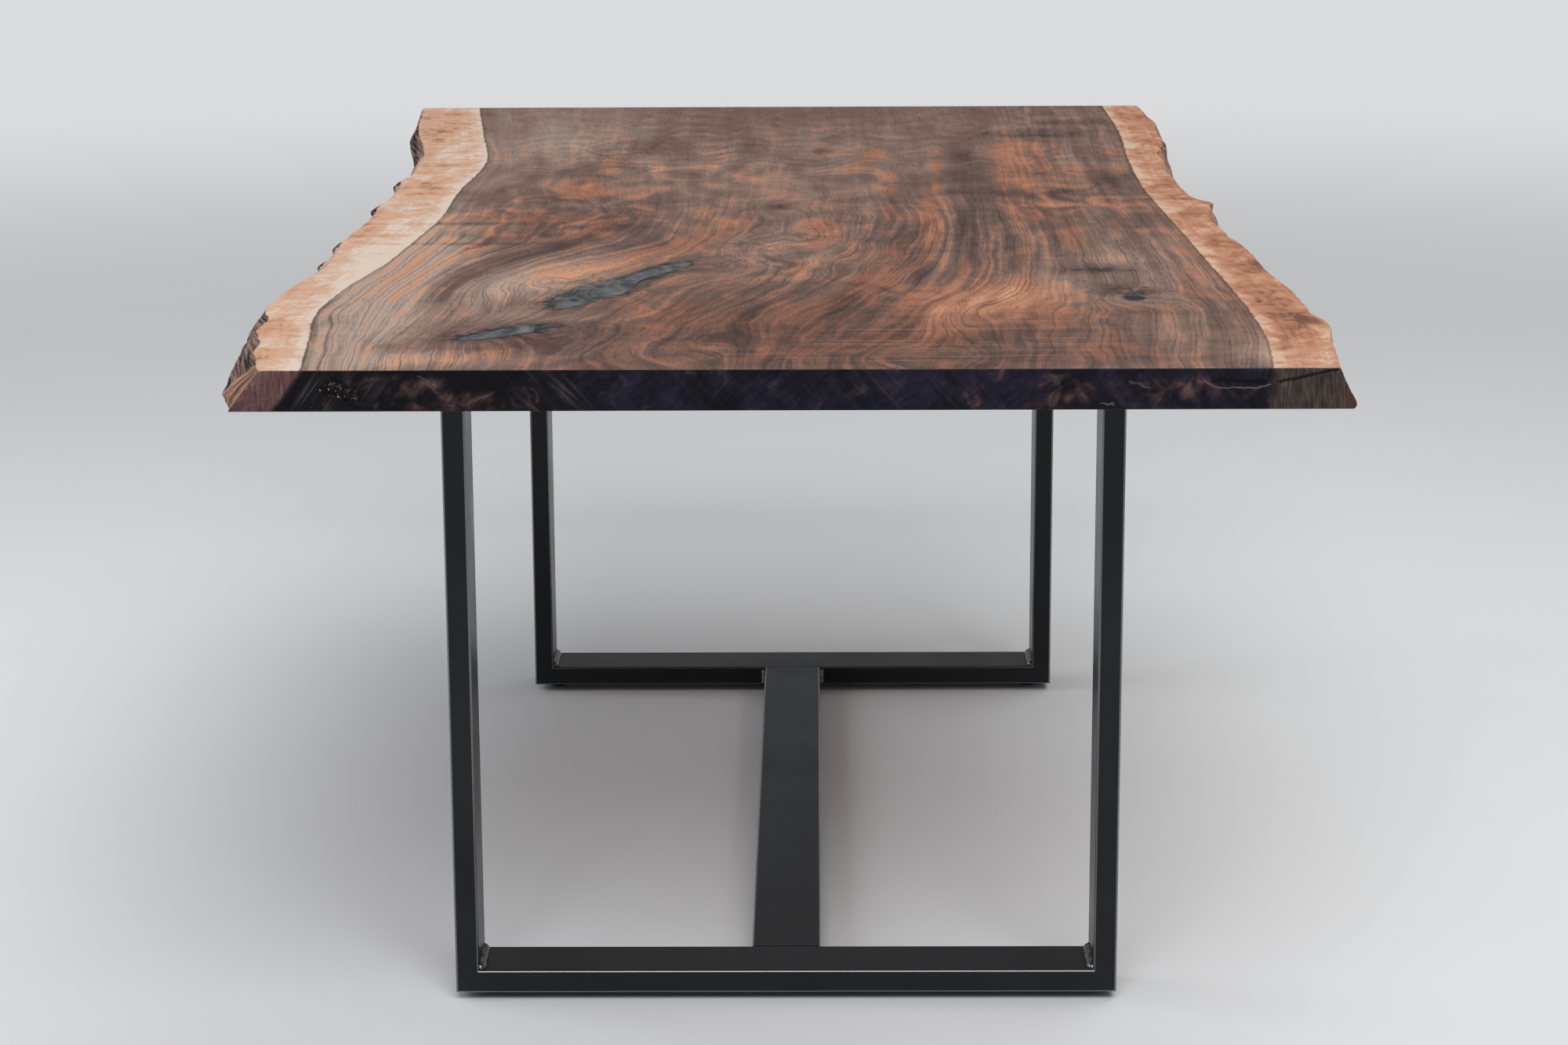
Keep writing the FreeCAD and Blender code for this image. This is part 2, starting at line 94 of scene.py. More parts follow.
def curve_through(stations: Sequence[float], values: Sequence[float], at: np.ndarray) -> np.ndarray:
    """Read a smooth curve that goes through given points.

    Args:
        stations: rising positions of the points.
        values: the curve's value at each position.
        at: the positions to read.

    Returns:
        The curve's value at each position read.
    """
    knots = np.asarray(stations, float)
    heights = np.asarray(values, float)
    slopes = np.gradient(heights, knots)
    k = np.clip(np.searchsorted(knots, at) - 1, 0, len(knots) - 2)
    span = knots[k + 1] - knots[k]
    t = np.clip((at - knots[k]) / span, 0.0, 1.0)
    rest = 1.0 - t
    return (
        (1 + 2 * t) * rest**2 * heights[k]
        + t * rest**2 * span * slopes[k]
        + t**2 * (3 - 2 * t) * heights[k + 1]
        - t**2 * rest * span * slopes[k + 1]
    )


def smooth_step(low: float, high: float, value: np.ndarray) -> np.ndarray:
    """Rise smoothly from 0 at low to 1 at high."""
    t = np.clip((value - low) / (high - low), 0.0, 1.0)
    return t * t * (3 - 2 * t)


def start_fresh() -> None:
    """Leave edit mode and deselect everything, so that the next operator acts on its own piece."""
    if bpy.context.object and bpy.context.object.mode != "OBJECT":
        bpy.ops.object.mode_set(mode="OBJECT")
    bpy.ops.object.select_all(action="DESELECT")


def take_up(piece: bpy.types.Object) -> None:
    """Select one piece alone and make it active.

    Args:
        piece: the piece to take up.
    """
    start_fresh()
    bpy.context.view_layer.objects.active = piece
    piece.select_set(True)


def points_of(piece: bpy.types.Object) -> np.ndarray:
    """Read a piece's vertices.

    Args:
        piece: the mesh object.

    Returns:
        The vertices as rows of x, y and z.
    """
    points = np.empty(len(piece.data.vertices) * 3, np.float32)
    piece.data.vertices.foreach_get("co", points)
    return points.reshape(-1, 3).astype(float)


def move_points(piece: bpy.types.Object, points: np.ndarray) -> None:
    """Put a piece's vertices at the given rows of x, y and z."""
    piece.data.vertices.foreach_set("co", points.astype(np.float32).ravel())
    piece.data.update()


def finish_piece(
    piece: bpy.types.Object, name: str, nodes: Sequence[str], body: str = TABLE_BODY
) -> bpy.types.Object:
    """Name a piece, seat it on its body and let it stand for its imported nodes.

    Args:
        piece: the finished mesh object.
        name: the piece's name.
        nodes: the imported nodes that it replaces.
        body: the body that it rides on.

    Returns:
        The piece.
    """
    piece.name = name
    piece.data.name = name
    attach(piece, body)
    if nodes:
        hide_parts(*nodes)
    LOG.info("%s: %d faces on body %s", name, len(piece.data.polygons), body)
    return piece


def dress_node(node: str, finish: bpy.types.Material) -> None:
    """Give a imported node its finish.

    Args:
        node: the node's name.
        finish: its material.
    """
    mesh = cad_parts[node].data
    mesh.materials.clear()
    mesh.materials.append(finish)
    LOG.info("%s: dressed in %s", node, finish.name)


class NodeTree:
    """A node tree, with short calls for the nodes that the finishes and the surroundings use."""

    def __init__(self, tree: bpy.types.NodeTree) -> None:
        """Take up a tree."""
        self.tree = tree

    def feed(self, socket: Socket, value: object) -> None:
        """Link a socket to another one, or set its own value.

        Args:
            socket: the socket to feed.
            value: the other socket, or the value.
        """
        if isinstance(value, bpy.types.NodeSocket):
            self.tree.links.new(value, socket)
        else:
            socket.default_value = value

    def node(self, kind: str, *values: object, **settings: object) -> bpy.types.Node:
        """Add a node, set it up and feed its first sockets.

        Args:
            kind: the node's kind.
            values: a value or another socket for each of its first sockets, in order.
            settings: its own settings.

        Returns:
            The node.
        """
        node = self.tree.nodes.new(kind)
        for name, setting in settings.items():
            setattr(node, name, setting)
        for socket, value in zip(node.inputs, values):
            self.feed(socket, value)
        return node

    def math(
        self, operation: str, a: object, b: object = 0.0, c: object = 0.0, clamp: bool = False
    ) -> Socket:
        """Work out one step of arithmetic."""
        return self.node("ShaderNodeMath", a, b, c, operation=operation, use_clamp=clamp).outputs[0]

    def times(self, *factors: object) -> Socket:
        """Multiply two or more values.

        Args:
            factors: the values.

        Returns:
            Their product.
        """
        product = factors[0]
        for factor in factors[1:]:
            product = self.math("MULTIPLY", product, factor)
        return product

    def hypotenuse(self, a: Socket, b: Socket) -> Socket:
        """Give the length of two sides at a right angle."""
        return self.math("SQRT", self.math("ADD", self.math("POWER", a, 2.0), self.math("POWER", b, 2.0)))

    def split(self, vector: Socket) -> tuple[Socket, ...]:
        """Take a vector apart into its three numbers."""
        return tuple(self.node("ShaderNodeSeparateXYZ", vector).outputs)

    def rise(
        self, value: object, low: float, high: float, to_low: float = 0.0, to_high: float = 1.0
    ) -> Socket:
        """Go smoothly from one value to another as the input goes from low to high."""
        numbers = (value, low, high, to_low, to_high)
        return self.node("ShaderNodeMapRange", *numbers, interpolation_type="SMOOTHSTEP").outputs["Result"]

    def showing(self) -> Socket:
        """Give 1 on the rays that show the background, which are straight, mirrored or transmitted.

        Returns:
            The share, 0 or 1.
        """
        path = self.node("ShaderNodeLightPath").outputs
        seen = self.math("MAXIMUM", path["Is Camera Ray"], path["Is Glossy Ray"])
        return self.math("MAXIMUM", seen, path["Is Transmission Ray"])

    def either(self, factor: Socket, first: Socket, second: Socket) -> Socket:
        """Mix two shaders."""
        return self.node("ShaderNodeMixShader", factor, first, second).outputs[0]


class NodeSheet(NodeTree):
    """One material's node tree, with its shader and the patterns that the finishes use."""

    def __init__(self, name: str) -> None:
        """Start a material with one shader and its output.

        Args:
            name: the material's name.
        """
        self.material = bpy.data.materials.new(name)
        self.material.use_nodes = True
        super().__init__(self.material.node_tree)
        self.tree.nodes.clear()
        self.shader = self.node("ShaderNodeBsdfPrincipled")
        self.surface = self.node("ShaderNodeOutputMaterial").inputs["Surface"]
        self.feed(self.surface, self.shader.outputs["BSDF"])
        self.place = self.node("ShaderNodeTexCoord").outputs["Object"]

    def set(self, **sockets: object) -> None:
        """Set or link the shader's sockets, named with underscores for spaces."""
        for name, value in sockets.items():
            self.feed(self.shader.inputs[name.replace("_", " ")], value)

    def sway(self, base: object, value: Socket, amount: object, clamp: bool = False) -> Socket:
        """Add a share of a noise to a base, so that the noise's middle adds nothing."""
        return self.math("MULTIPLY_ADD", self.math("SUBTRACT", value, 0.5), amount, base, clamp)

    def damp(self, value: Socket, amount: object) -> Socket:
        """Keep only a share of a noise's swing about its middle."""
        return self.sway(0.5, value, amount)

    def vector(self, x: object, y: object, z: object = 0.0) -> Socket:
        """Join three numbers into a vector."""
        return self.node("ShaderNodeCombineXYZ", x, y, z).outputs[0]

    def facing(self) -> list[Socket]:
        """Give how squarely the surface faces along each axis, from 0 to 1."""
        normal = self.node("ShaderNodeNewGeometry").outputs["Normal"]
        return [self.math("ABSOLUTE", part) for part in self.split(normal)]

    def carried(self, name: str) -> tuple[Socket, ...]:
        """Read the three numbers of an attribute that the mesh carries."""
        return self.split(self.node("ShaderNodeAttribute", attribute_name=name).outputs["Vector"])

    def stretched(self, scale: tuple[float, float, float]) -> Socket:
        """Give the surface's own place, scaled along each axis."""
        return self.node("ShaderNodeMapping", self.place, NOWHERE, NOWHERE, scale).outputs[0]

    def noise(
        self, vector: Socket, detail: float = 2.0, roughness: float = 0.5, twist: float = 0.0
    ) -> Socket:
        """Give fractal noise from 0 to 1.

        Args:
            vector: the place to read, in features.
            detail: how many finer layers it has.
            roughness: how strong the finer layers are.
            twist: how far it is distorted.

        Returns:
            The noise.
        """
        node = self.node("ShaderNodeTexNoise", vector)
        settings = {"Scale": 1.0, "Detail": detail, "Roughness": roughness, "Distortion": twist}
        for name, value in settings.items():
            node.inputs[name].default_value = value
        return node.outputs["Fac"]

    def flow(
        self, ring: Socket, along: Socket, across_scale: float, along_scale: float, detail: float
    ) -> Socket:
        """Give noise that follows the grain."""
        place = self.vector(self.times(ring, across_scale), self.times(along, along_scale))
        return self.noise(place, detail, 0.6)

    def slanted(self, lean: float, fine: float, coarse: float) -> Socket:
        """Give noise drawn out into streaks on an upright face.

        Args:
            lean: degrees that the streaks lean to the right.
            fine: features to a metre across them.
            coarse: features to a metre along them.

        Returns:
            The noise.
        """
        x, _, z = self.split(self.place)
        out, up = math.cos(math.radians(lean)), math.sin(math.radians(lean))
        across = self.math("MULTIPLY_ADD", z, -up * fine, self.times(x, out * fine))
        along = self.math("MULTIPLY_ADD", z, out * coarse, self.times(x, up * coarse))
        return self.noise(self.vector(across, along), 3.0, 0.55, 0.8)

    def chance(self, value: object) -> Socket:
        """Give one fixed random number from 0 to 1 for each whole value."""
        return self.node("ShaderNodeTexWhiteNoise", NOWHERE, value, noise_dimensions="1D").outputs["Value"]

    def ramp(self, factor: object, stops: Stops) -> Socket:
        """Give a colour along a row of stops.

        Args:
            factor: the place along the row.
            stops: the row, as places from 0 to 1 and their colours.

        Returns:
            The colour.
        """
        node = self.node("ShaderNodeValToRGB", factor)
        elements = node.color_ramp.elements
        while len(elements) < len(stops):
            elements.new(1.0)
        for element, (position, colour) in zip(elements, stops):
            element.position = position
            element.color = colour
        return node.outputs["Color"]

    def blend(self, factor: object, a: object, b: object) -> Socket:
        """Mix two colours.

        Args:
            factor: the second colour's share.
            a: the first colour.
            b: the second colour.

        Returns:
            The mixed colour.
        """
        node = self.node("ShaderNodeMix", data_type="RGBA")
        colours = [socket for socket in node.inputs if socket.type == "RGBA"]
        for socket, value in zip((node.inputs["Factor"], *colours), (factor, a, b)):
            self.feed(socket, value)
        return next(socket for socket in node.outputs if socket.type == "RGBA")

    def stroke(self, start: Place, end: Place, width: float, waver: float) -> Socket:
        """Draw a soft stroke on an upright face, in millimetres.

        Args:
            start: place across and up of its one end.
            end: place of its other end.
            width: half its width.
            waver: how far it wavers up and down.

        Returns:
            The stroke's strength, from 0 to 1.
        """
        x, _, z = self.split(self.place)
        run, climb = (end[0] - start[0]) * MM, (end[1] - start[1]) * MM
        square = run**2 + climb**2
        dx = self.math("SUBTRACT", x, start[0] * MM)
        dz = self.math("SUBTRACT", z, start[1] * MM)
        dz = self.sway(dz, even(110.0, 3.0).draw(self), waver * MM)
        reach = self.math("ADD", self.times(dx, run / square), self.times(dz, climb / square))
        reach = self.math("MINIMUM", self.math("MAXIMUM", reach, 0.0), 1.0)
        off_x = self.math("MULTIPLY_ADD", reach, -run, dx)
        off_z = self.math("MULTIPLY_ADD", reach, -climb, dz)
        return self.rise(self.hypotenuse(off_x, off_z), width * MM, 0.25 * width * MM)

    def run_out(self, factor: Socket, colour: Colour) -> None:
        """Let the surface run out into an even glow of one colour."""
        glow = self.node("ShaderNodeEmission", colour)
        self.feed(self.surface, self.either(factor, self.shader.outputs["BSDF"], glow.outputs[0]))

    def bump(self, height: object, strength: float, distance: float) -> None:
        """Give the shader a bump.

        Args:
            height: the bump's height.
            strength: how strong it is.
            distance: how far a height of 1 stands out.
        """
        node = self.node("ShaderNodeBump")
        for name, value in {"Strength": strength, "Distance": distance, "Height": height}.items():
            self.feed(node.inputs[name], value)
        self.set(Normal=node.outputs["Normal"])


@dataclass(frozen=True)
class Pattern:
    """A fractal noise at the surface's own place.

    Attributes:
        scale: how many features go to a metre along each axis.
        detail: how many finer layers it has.
        roughness: how strong the finer layers are.
        twist: how far it is distorted.
    """

    scale: tuple[float, float, float]
    detail: float = 2.0
    roughness: float = 0.5
    twist: float = 0.0

    def draw(self, sheet: NodeSheet) -> Socket:
        """Give the noise, from 0 to 1."""
        return sheet.noise(sheet.stretched(self.scale), self.detail, self.roughness, self.twist)


def even(scale: float, detail: float = 2.0, roughness: float = 0.5, twist: float = 0.0) -> Pattern:
    """Give a pattern with one scale along all axes."""
    return Pattern((scale, scale, scale), detail, roughness, twist)


def tone(red: float, green: float, blue: float) -> Colour:
    """Give an opaque colour in linear light."""
    return (red, green, blue, 1.0)


@dataclass(frozen=True)
class WalnutFinish:
    """Oiled walnut: heartwood rings, pale sapwood, and bark where the natural edge keeps it.

    It reads what the slab carries: grain (ring count, place along the grain, depth), figure (warmth, shade,
    waviness), edge (distance out into the sapwood, bark cover, ridge height) and marks (planer lines, ink,
    flames). Its stops are colours, and its patterns are noises.
    """

    name: str = "oiled_walnut"
    grey_wood: Stops = (
        (0.00, tone(0.028, 0.013, 0.011)), (0.25, tone(0.085, 0.046, 0.036)),
        (0.50, tone(0.176, 0.103, 0.078)), (0.75, tone(0.285, 0.197, 0.156)),
        (1.00, tone(0.450, 0.335, 0.270)),
    )
    warm_wood: Stops = (
        (0.00, tone(0.036, 0.013, 0.007)), (0.25, tone(0.122, 0.046, 0.027)),
        (0.50, tone(0.255, 0.104, 0.062)), (0.75, tone(0.425, 0.183, 0.104)),
        (1.00, tone(0.600, 0.290, 0.165)),
    )
    left_sap: Stops = (
        (0.00, tone(0.710, 0.580, 0.475)), (0.34, tone(0.650, 0.415, 0.295)),
        (0.66, tone(0.610, 0.325, 0.195)), (1.00, tone(0.290, 0.125, 0.068)),
    )
    right_sap: Stops = (
        (0.00, tone(0.640, 0.430, 0.300)), (0.34, tone(0.510, 0.250, 0.145)),
        (0.66, tone(0.400, 0.165, 0.085)), (1.00, tone(0.150, 0.064, 0.038)),
    )
    line: Colour = tone(0.030, 0.013, 0.009)
    ink: Colour = tone(0.014, 0.015, 0.018)
    planed: Colour = tone(0.520, 0.300, 0.190)
    ridged_bark: Stops = ((0.12, tone(0.016, 0.009, 0.009)), (0.95, tone(0.360, 0.225, 0.180)))
    inner_bark: Stops = (
        (0.32, tone(0.050, 0.022, 0.014)), (0.50, tone(0.225, 0.105, 0.062)),
        (0.68, tone(0.430, 0.230, 0.145)),
    )
    torn_wood: Stops = (
        (0.34, tone(0.060, 0.028, 0.021)), (0.48, tone(0.260, 0.135, 0.095)),
        (0.66, tone(0.470, 0.290, 0.215)),
    )
    broad_wander: Pattern = Pattern((10.0, 4.0, 10.0))
    fine_wander: Pattern = Pattern((34.0, 11.0, 34.0))
    patches: Pattern = Pattern((15.0, 10.0, 15.0), 4.0, 0.62, 1.4)
    flames: Pattern = Pattern((15.0, 11.0, 15.0), 3.0, 0.6, 1.5)
    mottles: Pattern = even(38.0, 3.0, 0.6, 1.0)
    fibres: Pattern = Pattern((900.0, 30.0, 900.0), 2.0, 0.7)
    pores: Pattern = Pattern((520.0, 34.0, 520.0), 1.0)
    planer_lines: Pattern = Pattern((5.0, 230.0, 5.0), 2.0, 0.6)
    ink_rags: Pattern = even(62.0, 5.0, 0.72, 1.2)
    sap_seam: Pattern = even(55.0, 3.0)
    sap_clouds: Pattern = Pattern((17.0, 9.0, 17.0), 3.0, 0.55)
    sap_blots: Pattern = Pattern((44.0, 26.0, 44.0), 3.0, 0.6, 1.0)
    sap_ripples: Pattern = Pattern((9.0, 46.0, 30.0), 3.0, 0.6, 0.6)
    sap_fibres: Pattern = Pattern((800.0, 26.0, 800.0), 2.0, 0.6)
    bark_rags: Pattern = Pattern((70.0, 26.0, 70.0), 4.0, 0.65, 0.6)
    bark_splits: Pattern = Pattern((18.0, 320.0, 18.0), 4.0, 0.65, 0.5)
    specular: float = 0.12

    def make(self) -> bpy.types.Material:
        """Lay out the material.

        Returns:
            The finished material.
        """
        sheet = NodeSheet(self.name)
        grain, figure = sheet.carried("grain"), sheet.carried("figure")
        edge, marks = sheet.carried("edge"), sheet.carried("marks")
        ring = self.ring_count(sheet, grain[0], figure[2])
        heart, relief = self.heartwood(sheet, ring, grain[1], figure, marks)
        depth = sheet.sway(edge[0], self.sap_seam.draw(sheet), 0.004)
        sap = self.sapwood(sheet, grain[1], depth, figure)
        brim = sheet.times(sheet.rise(depth, -0.0042, -0.0006), sheet.rise(depth, 0.0010, -0.0002), 0.55)
        heart = sheet.blend(brim, heart, self.line)
        wood = sheet.blend(sheet.rise(depth, -0.0010, 0.0016), heart, sap)
        bark, furrows = self.bark(sheet, edge[2])
        upright = sheet.rise(sheet.facing()[2], 0.92, 0.55)
        skin = sheet.times(upright, sheet.rise(grain[2], 0.002, 0.020), 0.85)
        wood = sheet.blend(skin, wood, sheet.ramp(furrows, self.inner_bark))
        ragged = sheet.rise(sheet.sway(edge[1], self.bark_rags.draw(sheet), 1.5), 0.44, 0.56)
        covered = sheet.times(ragged, sheet.rise(edge[1], 0.02, 0.20))
        oiled = sheet.rise(relief, 0.2, 0.8, 0.54, 0.44)
        sheet.set(
            Base_Color=sheet.blend(covered, wood, bark),
            Roughness=sheet.math("MULTIPLY_ADD", covered, 0.35, oiled),
            Specular_IOR_Level=self.specular,
        )
        sheet.bump(sheet.math("MULTIPLY_ADD", sheet.times(furrows, covered), 40.0, relief), 0.6, 0.06 * MM)
        return sheet.material

    def ring_count(self, sheet: NodeSheet, ring: Socket, wavy: Socket) -> Socket:
        """Wander the rings, most where the figure is wavy.

        Args:
            sheet: the material's sheet.
            ring: the slab's own ring count.
            wavy: how wavy the figure is.

        Returns:
            The wandering ring count.
        """
        swing = sheet.math("MULTIPLY_ADD", wavy, 22.0, 5.0)
        moved = sheet.sway(ring, self.broad_wander.draw(sheet), swing)
        return sheet.sway(moved, self.fine_wander.draw(sheet), sheet.math("MULTIPLY_ADD", wavy, 8.0, 0.9))

    def heartwood(
        self, sheet: NodeSheet, ring: Socket, along: Socket, figure: Sequence[Socket], marks: Sequence[Socket]
    ) -> tuple[Socket, Socket]:
        """Colour the heartwood by its rings, streaks and stains.

        Args:
            sheet: the material's sheet.
            ring: the wandering ring count.
            along: the place along the grain.
            figure: warmth, shade and waviness.
            marks: planer lines, ink and flames.

        Returns:
            The colour, and the relief for the bump.
        """
        calm = self.calmness(sheet, along)
        each = sheet.damp(sheet.chance(sheet.math("FLOOR", ring)), calm)
        bands = sheet.damp(sheet.flow(ring, along, 0.125, 2.2, 2.0), sheet.math("MAXIMUM", calm, 0.6))
        streaks = sheet.damp(sheet.flow(ring, along, 0.55, 7.0, 5.0), calm)
        strata = self.stripes(sheet, ring, along)
        patches, fibres = self.patches.draw(sheet), self.fibres.draw(sheet)
        flames = sheet.damp(self.flames.draw(sheet), marks[2])
        mottles = sheet.damp(self.mottles.draw(sheet), figure[2])
        warmth, level = figure[0], sheet.math("ADD", figure[1], 0.47)
        hues = ((flames, 2.0), (patches, 1.8), (streaks, 0.9), (bands, 0.9), (strata, 0.75), (each, 0.2))
        for pattern, amount in hues:
            warmth = sheet.sway(warmth, pattern, amount)
        tones = ((bands, 0.62), (streaks, 0.62), (patches, 0.5), (flames, 0.9), (mottles, 0.9))
        tones += ((strata, 0.26), (each, 0.15), (fibres, 0.20))
        for pattern, amount in tones:
            level = sheet.sway(level, pattern, amount, clamp=pattern is fibres)
        grey, warm = sheet.ramp(level, self.grey_wood), sheet.ramp(level, self.warm_wood)
        colour = sheet.blend(sheet.rise(warmth, 0.05, 0.70), grey, warm)
        late = self.late_wood(sheet, ring, along, figure[2], streaks, calm)
        colour = sheet.blend(late, colour, self.line)
        pores = sheet.rise(self.pores.draw(sheet), 0.63, 0.72)
        colour = sheet.blend(sheet.times(pores, 0.35), colour, self.line)
        planer = sheet.rise(self.planer_lines.draw(sheet), 0.50, 0.72)
        colour = sheet.blend(sheet.times(planer, marks[0], 0.46), colour, self.planed)
        inked = sheet.sway(sheet.sway(marks[1], self.ink_rags.draw(sheet), 2.2), streaks, 0.8)
        colour = sheet.blend(sheet.rise(inked, 0.30, 0.95), colour, self.ink)
        return colour, sheet.math("MULTIPLY_ADD", pores, -0.6, fibres)

    def calmness(self, sheet: NodeSheet, along: Socket) -> Socket:
        """Give how much of the rings' contrast shows: less to the rear, but for the right side."""
        rightward = sheet.rise(sheet.split(sheet.place)[0], 0.20, 0.30, 0.0, 0.75)
        return sheet.math("MAXIMUM", sheet.rise(along, -0.25, 0.30, 1.0, 0.28), rightward)

    def stripes(self, sheet: NodeSheet, ring: Socket, along: Socket) -> Socket:
        """Give the stripes right of the middle and by the left sapwood.

        Args:
            sheet: the material's sheet.
            ring: the wandering ring count.
            along: the place along the grain.

        Returns:
            The stripes, as a noise about its middle.
        """
        right = sheet.times(sheet.rise(ring, 76.0, 90.0), sheet.rise(ring, 140.0, 116.0, 0.3, 1.0))
        fading = sheet.times(sheet.rise(along, 0.25, -0.05), sheet.rise(along, -0.65, -0.40, 0.22, 0.75))
        left = sheet.times(sheet.rise(ring, 32.0, 14.0), sheet.rise(along, 0.10, -0.20, 0.35, 0.8))
        strength = sheet.math("MAXIMUM", left, sheet.times(right, fading))
        return sheet.damp(sheet.rise(sheet.flow(ring, along, 0.42, 1.4, 3.0), 0.36, 0.64), strength)

    def late_wood(
        self, sheet: NodeSheet, ring: Socket, along: Socket, wavy: Socket, streaks: Socket, calm: Socket
    ) -> Socket:
        """Give the dark lines of the late wood, bolder by the left sapwood.

        Args:
            sheet: the material's sheet.
            ring: the wandering ring count.
            along: the place along the grain.
            wavy: how wavy the figure is.
            streaks: the streaks that break the lines up.
            calm: how much of the rings' contrast shows.

        Returns:
            How dark the lines are, from 0 to 1.
        """
        within = sheet.math("FRACT", ring)
        fine = sheet.times(sheet.rise(within, 0.50, 0.93), sheet.rise(within, 1.0, 0.95))
        own = sheet.chance(sheet.math("ADD", sheet.math("FLOOR", ring), 31.7))
        fine = sheet.times(fine, sheet.rise(own, 0.25, 0.85, 0.06, 0.62), calm)
        fine = sheet.times(fine, sheet.rise(streaks, 0.68, 0.38, 0.35, 1.0))
        fine = sheet.times(fine, sheet.rise(wavy, 0.3, 1.0, 1.0, 0.4))
        wide = sheet.times(ring, 0.62)
        within_wide = sheet.math("FRACT", wide)
        bold = sheet.times(sheet.rise(within_wide, 0.45, 0.92), sheet.rise(within_wide, 1.0, 0.94))
        uneven = sheet.rise(sheet.chance(sheet.math("FLOOR", wide)), 0.2, 0.9, 0.08, 0.44)
        bold = sheet.times(bold, uneven, sheet.rise(ring, 26.0, 17.0), sheet.rise(along, 0.05, -0.25))
        return sheet.math("MAXIMUM", fine, bold)

    def sapwood(self, sheet: NodeSheet, along: Socket, depth: Socket, figure: Sequence[Socket]) -> Socket:
        """Colour the sapwood: pale by the heartwood, deeper to the outside, with ripples across it.

        Args:
            sheet: the material's sheet.
            along: the place along the grain.
            depth: the distance out into the sapwood.
            figure: warmth, shade and waviness.

        Returns:
            The colour.
        """
        level = sheet.rise(depth, 0.000, 0.020, 0.10, 0.42)
        level = sheet.math("MULTIPLY_ADD", figure[0], 0.25, level)
        level = sheet.math("MULTIPLY_ADD", figure[1], -0.55, level)
        amounts = ((self.sap_clouds, 1.5), (self.sap_blots, 1.5), (self.sap_ripples, 0.6))
        for pattern, amount in amounts:
            level = sheet.sway(level, pattern.draw(sheet), amount)
        level = sheet.sway(level, sheet.flow(depth, along, 190.0, 5.0, 3.0), 0.5)
        level = sheet.sway(level, self.sap_fibres.draw(sheet), 0.14, clamp=True)
        side = sheet.rise(sheet.split(sheet.place)[0], -0.1, 0.1)
        return sheet.blend(side, sheet.ramp(level, self.left_sap), sheet.ramp(level, self.right_sap))

    def bark(self, sheet: NodeSheet, height: Socket) -> tuple[Socket, Socket]:
        """Colour the bark: dark in its furrows, grey-brown on its ridges and red where it is torn.

        Args:
            sheet: the material's sheet.
            height: how high the ridge stands, from 0 to 1, or over 1 where the bark is torn off.

        Returns:
            The colour, and the furrows' relief.
        """
        x, y, z = sheet.split(sheet.place)
        slant = sheet.math("MULTIPLY_ADD", y, 0.06, z)
        strands = sheet.vector(sheet.times(x, 9.0), sheet.times(y, 5.0), sheet.times(slant, 520.0))
        fibres = sheet.noise(strands, 4.0, 0.62, 0.2)
        level = sheet.math("MULTIPLY_ADD", sheet.math("MINIMUM", height, 1.0), 0.42, 0.20)
        colour = sheet.ramp(sheet.sway(level, fibres, 3.0), self.ridged_bark)
        torn = sheet.ramp(self.bark_splits.draw(sheet), self.torn_wood)
        return sheet.blend(sheet.rise(height, 1.1, 1.5), colour, torn), fibres


@dataclass(frozen=True)
class Streak:
    """A pale streak on the front end, in millimetres.

    Attributes:
        start: place across and up of its one end.
        end: place of its other end.
        width: half its width.
        strength: how strong it is.
    """

    start: Place
    end: Place
    width: float
    strength: float


